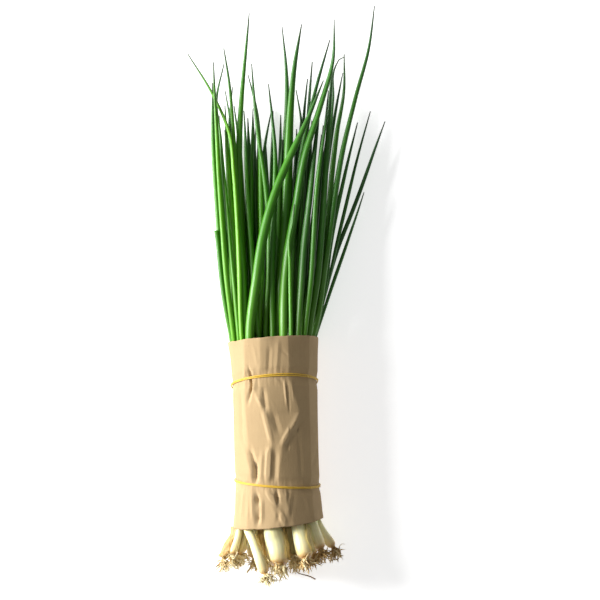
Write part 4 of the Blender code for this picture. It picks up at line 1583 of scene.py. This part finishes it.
    def build(self, material: bpy.types.Material) -> None:
        """Makes the sheet.

        Args:
            material: The paper's material.
        """
        form = self.form
        turns = self.turns()
        levels = np.linspace(form.bottom_edge.along, form.top_edge.along, self.rows)
        angle, along = np.meshgrid(turns, levels)
        outside = np.full(angle.shape, form.thickness / 2)
        flat = form.place(angle, along, outside)
        height, pressed_in = self.folded(angle, along, flat)
        loose_end = np.clip(1 - (angle - form.free_edge) / 0.16, 0, 1)
        bands = (form.lower_band.along, form.upper_band.along)
        from_band = np.minimum(*(np.abs(along - band) for band in bands))
        at_band = np.exp(-((from_band / self.band_reach) ** 2))
        second_turn = angle > form.free_edge + 2 * math.pi
        lap = second_turn | (angle < form.free_edge + self.overlap)
        height = np.where(lap, height * 0.35, height)
        once_round = np.where(second_turn, angle - 2 * math.pi, angle)
        firm = 1 - 0.4 * rising(np.abs(along), self.rim_from, self.rim_loose_over)
        firm = (1 - 0.9 * at_band) * firm
        height -= self.softened(self.facets(once_round, flat[..., 1]), turns) * firm
        most = (0.40 + 1.4 * (1 - np.abs(np.sin(angle)))) * (1 - at_band) + 0.10 * at_band
        height = np.minimum(height, most) + 0.35 * loose_end**2
        height *= rising(flat[..., 2], *self.lies_flat)
        points = form.place(angle, along, outside + height)
        way_round = (angle - form.free_edge) * self.wrap_radius
        ragged = 0.20 * np.sin(way_round * 0.33) + 0.10 * np.sin(way_round * 0.9 + 1)
        points[-1, :, 1] += ragged[-1] * 0.7
        points[0, :, 1] += ragged[0]
        steepness = np.hypot(*np.gradient(height))
        wear = np.clip(steepness * 3.0, 0, 1) ** 1.5
        # Painted shade: negative values mark the deepest pressed-in folds, which the paper's material
        # darkens.
        wear = wear - 2 * rising(pressed_in, *self.painted_shade_depths)
        made = sheet_object("paper_sleeve_sheet", points, wear, "wear", self.sheet)
        place_piece(made, material, Slot.PAPER, "paper_sleeve")


@dataclass
class ElasticBands:
    """Two thin bands, each wound twice, so that two strands lie side by side and cross at places."""

    form: SleeveForm = SleeveForm()
    strand: float = 0.42
    clearance: float = 0.35
    points: int = 200
    sides: int = 10
    apart: float = 0.36
    wander: float = 0.22
    cross_within: float = 0.35
    off_floor: float = 0.1

    def build(self, material: bpy.types.Material) -> None:
        """Makes both bands.

        Args:
            material: The elastic's material.
        """
        form = self.form
        for name, rim, phase in (
            ("upper", form.upper_band, 0.6),
            ("lower", form.lower_band, 2.4),
        ):
            tubes = TubeMesh()
            angle = np.linspace(0, 2 * math.pi, self.points)
            turn = angle + form.free_edge
            swing = np.sin(angle + phase) + 0.45 * np.sin(2 * angle + 1.7 * phase)
            for side in (-1, 1):
                apart = side * (self.apart + self.wander * np.abs(swing))
                apart = apart * np.sign(np.sin(angle / 2 + 1e-6))
                rise = self.strand * 0.9 * side * np.exp(-((swing / self.cross_within) ** 2))
                out = form.thickness / 2 + self.clearance + self.strand + np.maximum(rise, 0)
                path = form.place(turn, np.full(self.points, rim.along), out)
                path[:, 1] += apart * 0.9
                path[:, 2] = np.maximum(path[:, 2], self.strand + self.off_floor)
                tubes.add(path, np.full(self.points, self.strand), self.sides)
            made = tubes.make(f"elastic_band_{name}")
            place_piece(made, material, Slot.BAND, f"rubber_band_{name}")


@dataclass
class Leaves:
    """Every scallion's neck and leaves."""

    layout: BunchLayout
    sides: int = 16
    step: float = 2.6
    cut_leaf: int = 0
    hooked_leaf: int = 36
    hook: tuple[tuple[float, float], ...] = ((261.5, 1.6), (263.2, 5.0))
    painted_light_over: float = 22.0
    painted_light_side_tone: float = 0.26
    seed: int = 11
    fine_from: float = 56.0
    hidden_step: float = 8.0
    hook_step: float = 1.0
    fuller_below: float = 0.45
    fuller: float = 0.3
    painted_shade_below: float = 0.4

    def hooked(self, index: int) -> Strand:
        """A leaf's strand, drawn out round the hook where its tip has one.

        Args:
            index: The leaf's number.

        Returns:
            The strand.
        """
        strand = self.layout.blades[index]
        if index != self.hooked_leaf:
            return strand
        heights = np.array([height for height, _ in self.hook])
        places = strand.places[-1] + np.array([(across, 0.0) for _, across in self.hook])
        return Strand(
            np.concatenate([strand.heights, heights]), np.concatenate([strand.places, places])
        )

    def section(self, share: np.ndarray, draw: np.random.Generator) -> np.ndarray:
        """A leaf's cross-section, which is a little oval and may have a groove.

        Args:
            share: Shares of the leaf's length.
            draw: The source of its small irregularities.

        Returns:
            A factor on the radius for each point and side.
        """
        angles = np.linspace(0, 2 * math.pi, self.sides, endpoint=False)
        facing = draw.uniform(0, math.pi) + share * draw.uniform(-1.2, 1.2)
        oval = draw.uniform(0.02, 0.10) + 0.08 * rising(share, 0.8, 0.2)
        around = angles[None, :] - facing[:, None]
        shape = 1 + oval[:, None] * np.cos(2 * around)
        groove = draw.choice((0.0, 0.05, 0.12)) * rising(share, 0.2, 0.2)
        off = np.angle(np.exp(1j * (around - 1.3)))
        return shape - groove[:, None] * np.exp(-((off / 0.45) ** 2))

    def shade(self, leaf: LeafTrace, draw: np.random.Generator) -> float:
        """A leaf's tone, with painted light and shade: lighter on the left, where the key light falls, and
        darker deep in the fan, under the other leaves.

        Args:
            leaf: The leaf.
            draw: The source of its small irregularities.

        Returns:
            The tone, from 0 to 1.
        """
        side = float(np.clip(-leaf.way[0][0] / self.painted_light_over, -1, 1))
        # Painted light: leaves on the left, where the key light falls, are made lighter.
        tone = float(np.clip(draw.normal(0.58, 0.16) + self.painted_light_side_tone * side, 0.08, 1))
        # Painted shade: leaves deep in the fan, under the others, are made darker.
        return tone * 0.8 if leaf.depth >= self.painted_shade_below else tone

    def blade(self, tubes: TubeMesh, index: int, draw: np.random.Generator) -> None:
        """Adds one leaf.

        Args:
            tubes: The mesh that takes it.
            index: The leaf's number.
            draw: The source of its small irregularities.
        """
        layout = self.layout
        leaf = layout.leaves[index]
        strand = self.hooked(index)
        plant = layout.plants[layout.owner[index]]
        foot, tip = strand.heights[1], strand.heights[-1]
        inner = np.arange(strand.heights[0], self.fine_from, self.hidden_step)
        fine = self.hook_step if index == self.hooked_leaf else self.step
        levels = np.concatenate([inner, np.arange(self.fine_from, tip - 1, fine), [tip]])
        path = strand.at(levels)
        share = rising(levels, foot, tip - foot)
        radii = layout.leaf_radius(share, leaf.width)
        radii = radii * (1 + 0.03 * np.sin(levels / draw.uniform(9, 17) + draw.uniform(0, 6)))
        radii = radii * (1 - 0.25 * rising(share, 0.9, 0.1) ** 2)
        if leaf.depth >= self.fuller_below:
            radii = radii * (1 + self.fuller * np.sin(math.pi * rising(share, 0.5, 0.5)))
        in_neck = levels < layout.neck_top
        radii[in_neck] = np.minimum(radii[in_neck], 0.72 * plant.shank)
        radii = radii * layout.slimming(levels)
        sway = draw.uniform(0.08, 0.22) * rising(share, 0.25, 0.3)
        path[:, 0] += sway * np.sin(levels / draw.uniform(10, 19) + draw.uniform(0, 6))
        if index == self.cut_leaf:
            radii = leaf.width / 2 * (0.9 + 0.15 * np.clip((levels - tip + 5) / 5, 0, 1))
            inside = path[-1] - np.array([(0.0, 0.0, 0.0), (-0.2, 3.0, 0.0), (-0.6, 9.0, 0.0)])
            path = np.concatenate([path, inside])
            radii = np.concatenate([radii, radii[-1] * np.array((0.80, 0.70, 0.55))])
            share = np.concatenate([share * 0.8, (0.80, 0.90, 0.90)])
            levels = np.concatenate([levels, inside[:, 1]])
        shape = self.section(share, draw)
        tone = self.shade(leaf, draw)
        last_share = 0.8 if index == self.cut_leaf else 1.0
        tubes.add(path, radii, self.sides, tone, shape, (0.0, last_share))

    def build(self, material: bpy.types.Material) -> None:
        """Makes the leaves of every scallion.

        Args:
            material: The leaves' material.
        """
        layout = self.layout
        draw = np.random.default_rng(self.seed)
        for number, (plant, stem) in enumerate(zip(layout.plants, layout.stems)):
            tubes = TubeMesh()
            levels = np.linspace(layout.neck_bottom + GAP, layout.neck_top, 9)
            rise = (levels - levels[0]) / (levels[-1] - levels[0])
            radii = plant.shank * (1 - 0.18 * rise**2) * layout.slimming(levels)
            tubes.add(stem.straight(levels), radii, 24, 0.8, span=(0.0, 0.05))
            for index in np.flatnonzero(layout.owner == number):
                self.blade(tubes, int(index), draw)
            made = tubes.make(f"scallion_{number + 1:02d}_leaf_sheaf")
            place_piece(made, material, Slot.LEAF, f"scallion_{number + 1:02d}_leaves")


@dataclass
class Bulbs:
    """Every scallion's bulb and shank."""

    layout: BunchLayout
    sides: int = 48
    seed: int = 3
    dried: dict[int, float] = field(default_factory=lambda: {0: 0.1, 4: 0.0, 6: 0.9, 12: 0.5})
    round_share: float = 0.9
    round_rings: int = 12
    step: float = 0.9
    shows_to: float = -50.0
    hidden_step: float = 8.0

    def levels(self, plant: PlantTrace) -> np.ndarray:
        """Heights of one bulb's rings.

        Args:
            plant: The scallion.

        Returns:
            Heights from its end to the neck's seam, close together where the bulb shows.
        """
        base, rounded = plant.base_y, plant.bulb * self.round_share
        return np.concatenate(
            [
                base + rounded * np.linspace(0, 1, self.round_rings) ** 2,
                np.arange(base + rounded + 0.8, self.shows_to, self.step),
                np.arange(self.shows_to + 1, -GAP, self.hidden_step),
                [-GAP],
            ]
        )

    def build(self, material: bpy.types.Material, dry: bpy.types.Material) -> None:
        """Makes the bulbs.

        Args:
            material: The fresh bulbs' material.
            dry: The material of those in a dried skin.
        """
        layout = self.layout
        draw = np.random.default_rng(self.seed)
        for number, (plant, stem) in enumerate(zip(layout.plants, layout.stems)):
            levels = self.levels(plant)
            path = layout.bulb_way(stem, levels)
            radii = layout.shank_radius(levels, plant) * layout.slimming(levels)
            angles = np.linspace(0, 2 * math.pi, self.sides, endpoint=False)
            lobes = draw.uniform(0.01, 0.03) * np.cos(2 * angles + draw.uniform(0, 6))
            lobes = lobes + 0.012 * np.cos(3 * angles + draw.uniform(0, 6))
            shape = 1 + lobes[None, :] * np.ones(len(levels))[:, None]
            tubes = TubeMesh()
            tone = float(draw.uniform(0, 1))
            if number in self.dried:
                twist = angles[None, :] + levels[:, None] / 14
                wrinkles = np.cos(9 * twist + draw.uniform(0, 6)) + 0.7 * np.cos(14 * twist)
                shape = shape - 0.05 + 0.05 * wrinkles + 0.03 * np.sin(levels / 1.7)[:, None]
                tone = self.dried[number]
            tubes.add(path, radii, self.sides, tone, shape, (0.0, 1.0))
            made = tubes.make(f"scallion_{number + 1:02d}_bulb")
            chosen = dry if number in self.dried else material
            place_piece(made, chosen, Slot.SHANK, f"scallion_{number + 1:02d}_shank")


@dataclass(frozen=True)
class Skin:
    """A loose dried skin: its scallion, the angles and heights that it spans, its lifts and tone."""

    plant: int
    angles: tuple[float, float]
    heights: tuple[float, float]
    lift: float
    tone: float
    upper_lift: float = 0.0


@dataclass
class LooseSkins:
    """Dried outer skins that have come half away from their bulbs."""

    layout: BunchLayout
    thickness: float = 0.18
    clearance: float = 0.22
    clearings: int = 3
    step: float = 0.8
    columns: int = 26
    ragged: float = 1.2
    lowest: float = 0.5
    seed: int = 23
    skins: tuple[Skin, ...] = rows_of(
        Skin,
        (0, (50, 250), (-88, -67), 0.92, 0.0, 0.95),
        (3, (-30, 40), (-92, -72), 1.05, 0.35),
        (5, (-25, 50), (-89, -66), 1.04, 0.30),
        (6, (20, 150), (-84, -66), 1.12, 0.80),
        (7, (-10, 50), (-84, -64), 1.04, 0.70),
        (4, (10, 170), (-86, -70), 1.15, 0.0),
    )

    def surface(self, skin: Skin, draw: np.random.Generator) -> np.ndarray:
        """One skin's grid of points, clear of every bulb.

        Args:
            skin: The skin.
            draw: The source of its small irregularities.

        Returns:
            Points (rows, columns, 3) in millimetres.
        """
        layout = self.layout
        plant, stem = layout.plants[skin.plant], layout.stems[skin.plant]
        levels = np.arange(*skin.heights, self.step)
        path = layout.bulb_way(stem, np.maximum(levels, plant.base_y))
        path[:, 1] = levels
        sideways, upward = TubeMesh.ring_frames(path)
        columns = np.linspace(0, 1, self.columns)
        share = (levels - levels[0]) / (levels[-1] - levels[0])
        narrow = 0.45 + 0.55 * np.sin(math.pi * np.clip(share * 0.9 + 0.12, 0, 1))
        low, high = (math.radians(angle) for angle in skin.angles)
        middle, half = (low + high) / 2, (high - low) / 2
        wander = 0.12 * np.sin(levels / 4 + draw.uniform(0, 6))
        turn = middle + wander[:, None] + half * narrow[:, None] * (2 * columns[None, :] - 1)
        lip = np.abs(2 * columns - 1) ** 4
        ripple = 0.25 * np.sin(7 * turn + levels[:, None] / 3) + 0.2 * np.sin(levels / 1.9)[:, None]
        radii = layout.shank_radius(np.maximum(levels, plant.base_y + 1), plant)
        lift = skin.lift + skin.upper_lift * np.sin(0.5 * math.pi * np.clip(share * 1.3, 0, 1))
        reach = (radii * lift)[:, None] + 0.35 + 0.8 * lip[None, :] + ripple
        points = path[:, None] + reach[..., None] * (
            sideways[:, None] * np.cos(turn)[..., None] + upward[:, None] * np.sin(turn)[..., None]
        )
        for _ in range(self.clearings):
            points = layout.off_other_bulbs(points, skin.plant, self.clearance)
            points = layout.off_bulb(points, skin.plant, self.clearance)
        points[0, :, 1] += draw.uniform(-self.ragged, self.ragged, len(columns))
        points[..., 2] = np.maximum(points[..., 2], self.lowest)
        return points

    def build(self, material: bpy.types.Material) -> None:
        """Makes the skins.

        Args:
            material: The dried skins' material.
        """
        draw = np.random.default_rng(self.seed)
        for skin in self.skins:
            points = self.surface(skin, draw)
            tones = np.full(points.shape[:2], skin.tone)
            name = f"scallion_{skin.plant + 1:02d}_skin"
            made = sheet_object(name, points, tones, "tone", self.thickness)
            place_piece(made, material, Slot.SHANK)


@dataclass
class Roots:
    """Every scallion's root plate and its tuft of curling roots."""

    layout: BunchLayout
    plate_depth: float = 2.4
    fibres: int = 62
    thick: float = 0.46
    straw: tuple[int, ...] = (4, 6)
    seed: int = 19
    pale: tuple[int, ...] = (3, 5)
    stray: tuple[tuple[float, float, float], ...] = (
        (13.0, -95.0, 24.0),
        (17.5, -99.5, 22.0),
        (23.0, -101.0, 20.5),
        (28.0, -103.5, 19.0),
    )
    stray_from: int = 5
    stray_points: int = 14
    stray_radii: tuple[float, float] = (0.5, 0.2)
    steps: int = 12
    lengths: tuple[float, float] = (5.0, 12.5)
    straw_lengths: tuple[float, float] = (9.0, 15.0)
    lowest: float = 0.6
    below_box_top: float = 0.8
    inside_box_end: float = 0.5
    leans: float = 0.8
    first_curl: float = 0.40
    curl_kept: float = 0.6
    curl_added: float = 0.85
    heading_kept: float = 0.9
    pull: float = 0.12
    curl_turns: float = 0.24

    def fibre(self, start: Vector, toward: Vector, out: Vector, length: float, draw: Any) -> np.ndarray:
        """One root's middle line.

        Args:
            start: Where it leaves the plate.
            toward: The way that the plate faces.
            out: The way that this root leans.
            length: How long it is.
            draw: The source of its curl.

        Returns:
            Its points.
        """
        heading = (toward + out * draw.uniform(0.0, self.leans)).normalized()
        curl = Vector(draw.normal(0, self.first_curl, 3).tolist())
        points = [start.copy()]
        place = start.copy()
        for _ in range(self.steps):
            curl = curl * self.curl_kept + Vector(draw.normal(0, self.curl_added, 3).tolist())
            heading = heading * self.heading_kept + toward * self.pull + curl * self.curl_turns
            heading = heading.normalized()
            place = place + heading * (length / self.steps)
            points.append(place.copy())
        return np.array([tuple(point) for point in points])

    def tuft(
        self, tubes: TubeMesh, number: int, low: Vector, down: Vector, toward: Vector, draw: Any
    ) -> None:
        """Adds one scallion's fine roots, kept inside the solids' box.

        Args:
            tubes: The mesh that takes them.
            number: The scallion's number.
            low: The end of its bulb.
            down: The way that its bulb's end faces.
            toward: The way that its tuft hangs.
            draw: The source of the roots' irregularities.
        """
        layout = self.layout
        plant = layout.plants[number]
        radius = layout.end_radius(plant)
        end_y = CAD_BOX[0][1] / MM + self.inside_box_end
        sideways = down.orthogonal().normalized()
        other = down.cross(sideways)
        lightness = 0.60 - 0.006 * plant.base_x
        if number in self.pale or number in self.straw:
            lightness = 0.9 if number in self.pale else 0.75
        ways, looks = [], []
        for _ in range(self.fibres):
            angle = draw.uniform(0, 2 * math.pi)
            far = math.sqrt(draw.uniform(0.02, 0.9))
            out = sideways * math.cos(angle) + other * math.sin(angle)
            start = low + down * (self.plate_depth * 0.35) + out * (radius * 0.85 * far)
            length = draw.uniform(*self.lengths)
            if number in self.straw:
                length = draw.uniform(*self.straw_lengths)
                far *= 0.5
            path = self.fibre(start, toward, out * (0.35 + 0.65 * far), length, draw)
            path[:, 1] = np.maximum(path[:, 1], end_y)
            ways.append(path)
            shares = np.linspace(0, 1, len(path))
            radii = self.thick * draw.uniform(0.55, 1.2) * (1.1 - 0.55 * shares**2)
            looks.append((radii, float(np.clip(draw.normal(lightness, 0.2), 0, 1))))
        lines = np.stack(ways)
        lines[:, 1:] = layout.off_other_bulbs(lines[:, 1:], number, self.thick)
        highest = CAD_BOX[1][2] / MM - self.below_box_top
        lines[..., 2] = np.clip(lines[..., 2], self.lowest, highest)
        for path, (radii, tone) in zip(lines, looks):
            tubes.add(path, radii, 5, tone)

    def build(self, material: bpy.types.Material) -> None:
        """Makes the roots.

        Args:
            material: The roots' material.
        """
        layout = self.layout
        draw = np.random.default_rng(self.seed)
        for number, (plant, stem) in enumerate(zip(layout.plants, layout.stems)):
            levels = np.array((plant.base_y - 0.01, plant.base_y + 0.25 * plant.bulb))
            low, high = (Vector(point) for point in stem.at(np.maximum(levels, plant.base_y)))
            down = (low - high).normalized()
            radius = layout.end_radius(plant)
            beard = Vector(stem.at(stem.heights[:1])[0]) - low
            toward = (down + beard.normalized()).normalized()
            tubes = TubeMesh()
            steps = np.linspace(0, 1, 6)
            plate = np.array([tuple(low + down * (0.1 + self.plate_depth * 0.7 * s)) for s in steps])
            tubes.add(plate, radius * (1.02 - 0.45 * steps**2), 20, 0.35)
            self.tuft(tubes, number, low, down, toward, draw)
            if number == self.stray_from:
                tubes.add(self.stray_line(), np.linspace(*self.stray_radii, self.stray_points), 6, 0.1)
            made = tubes.make(f"scallion_{number + 1:02d}_root_tuft")
            place_piece(made, material, Slot.ROOT, f"scallion_{number + 1:02d}_roots")

    def stray_line(self) -> np.ndarray:
        """The stray root's middle line.

        Returns:
            Its points.
        """
        rows = np.array(sorted(self.stray, key=lambda point: point[1]))
        levels = np.linspace(rows[0, 1], rows[-1, 1], self.stray_points)
        return Strand(rows[:, 1], rows[:, [0, 2]]).at(levels)


@dataclass
class Studio:
    """The floor, the lights and the camera that looks straight down."""

    middle: tuple[float, float] = (17.15, 92.4)
    field: float = 420.0
    distance: float = 3000.0
    bunch_height: float = 25.0
    sensor: float = 36.0
    sees_to: float = 20.0
    floor_side: float = 6.0
    aim_height: float = 0.02
    surroundings: float = 0.20

    def area(
        self,
        name: str,
        place: tuple[float, float, float],
        size: tuple[float, float],
        power: float,
    ) -> None:
        """A soft light that faces the bunch.

        Args:
            name: The light's name.
            place: Where it stands, in metres.
            size: Its two sides, in metres.
            power: Its power, in watts.
        """
        data = bpy.data.lights.new(name, "AREA")
        data.shape = "RECTANGLE"
        data.size, data.size_y = size
        data.energy = power
        light = linked_object(name, data)
        light.location = place
        aim = Vector((*(part * MM for part in self.middle), self.aim_height)) - Vector(place)
        light.rotation_euler = aim.to_track_quat("-Z", "Y").to_euler()

    def build(self, material: bpy.types.Material) -> None:
        """Sets up the floor, the lights, the world and the camera.

        Args:
            material: The floor's material.
        """
        scene = bpy.context.scene
        mesh = bpy.data.meshes.new("studio_floor")
        side = self.floor_side
        corners = [(-side, -side, 0), (side, -side, 0), (side, side, 0), (-side, side, 0)]
        mesh.from_pydata(corners, [], [(0, 1, 2, 3)])
        floor = linked_object("studio_floor", mesh)
        floor.data.materials.append(material)
        self.area("key_from_left", (-1.75, 0.40, 0.72), (0.6, 1.2), 92.0)
        self.area("fill_from_above", (0.2, -0.2, 2.6), (2.0, 2.0), 5.0)
        world = bpy.data.worlds.new("pale_surroundings")
        world.use_nodes = True
        background = world.node_tree.nodes["Background"]
        background.inputs["Color"].default_value = (1.0, 1.0, 1.0, 1.0)
        background.inputs["Strength"].default_value = self.surroundings
        scene.world = world
        scene.view_settings.view_transform = "Standard"
        data = bpy.data.cameras.new("straight_down")
        data.sensor_width = self.sensor
        data.lens = self.sensor * self.distance / self.field
        data.clip_end = self.sees_to
        camera = linked_object("straight_down", data)
        above = self.distance + self.bunch_height
        camera.location = [part * MM for part in (*self.middle, above)]
        scene.camera = camera


def main() -> None:
    """Builds every piece over its solid."""
    logging.basicConfig(level=logging.INFO, format="%(name)s %(message)s")
    Studio().build(floor_finish())
    layout = BunchLayout()
    layout.work_out()
    PaperSleeve().build(paper_finish())
    ElasticBands().build(band_finish())
    Leaves(layout).build(leaf_finish())
    dry = skin_finish()
    Bulbs(layout).build(bulb_finish(), dry)
    LooseSkins(layout).build(dry)
    Roots(layout).build(root_finish())


if __name__ == "__main__":
    main()
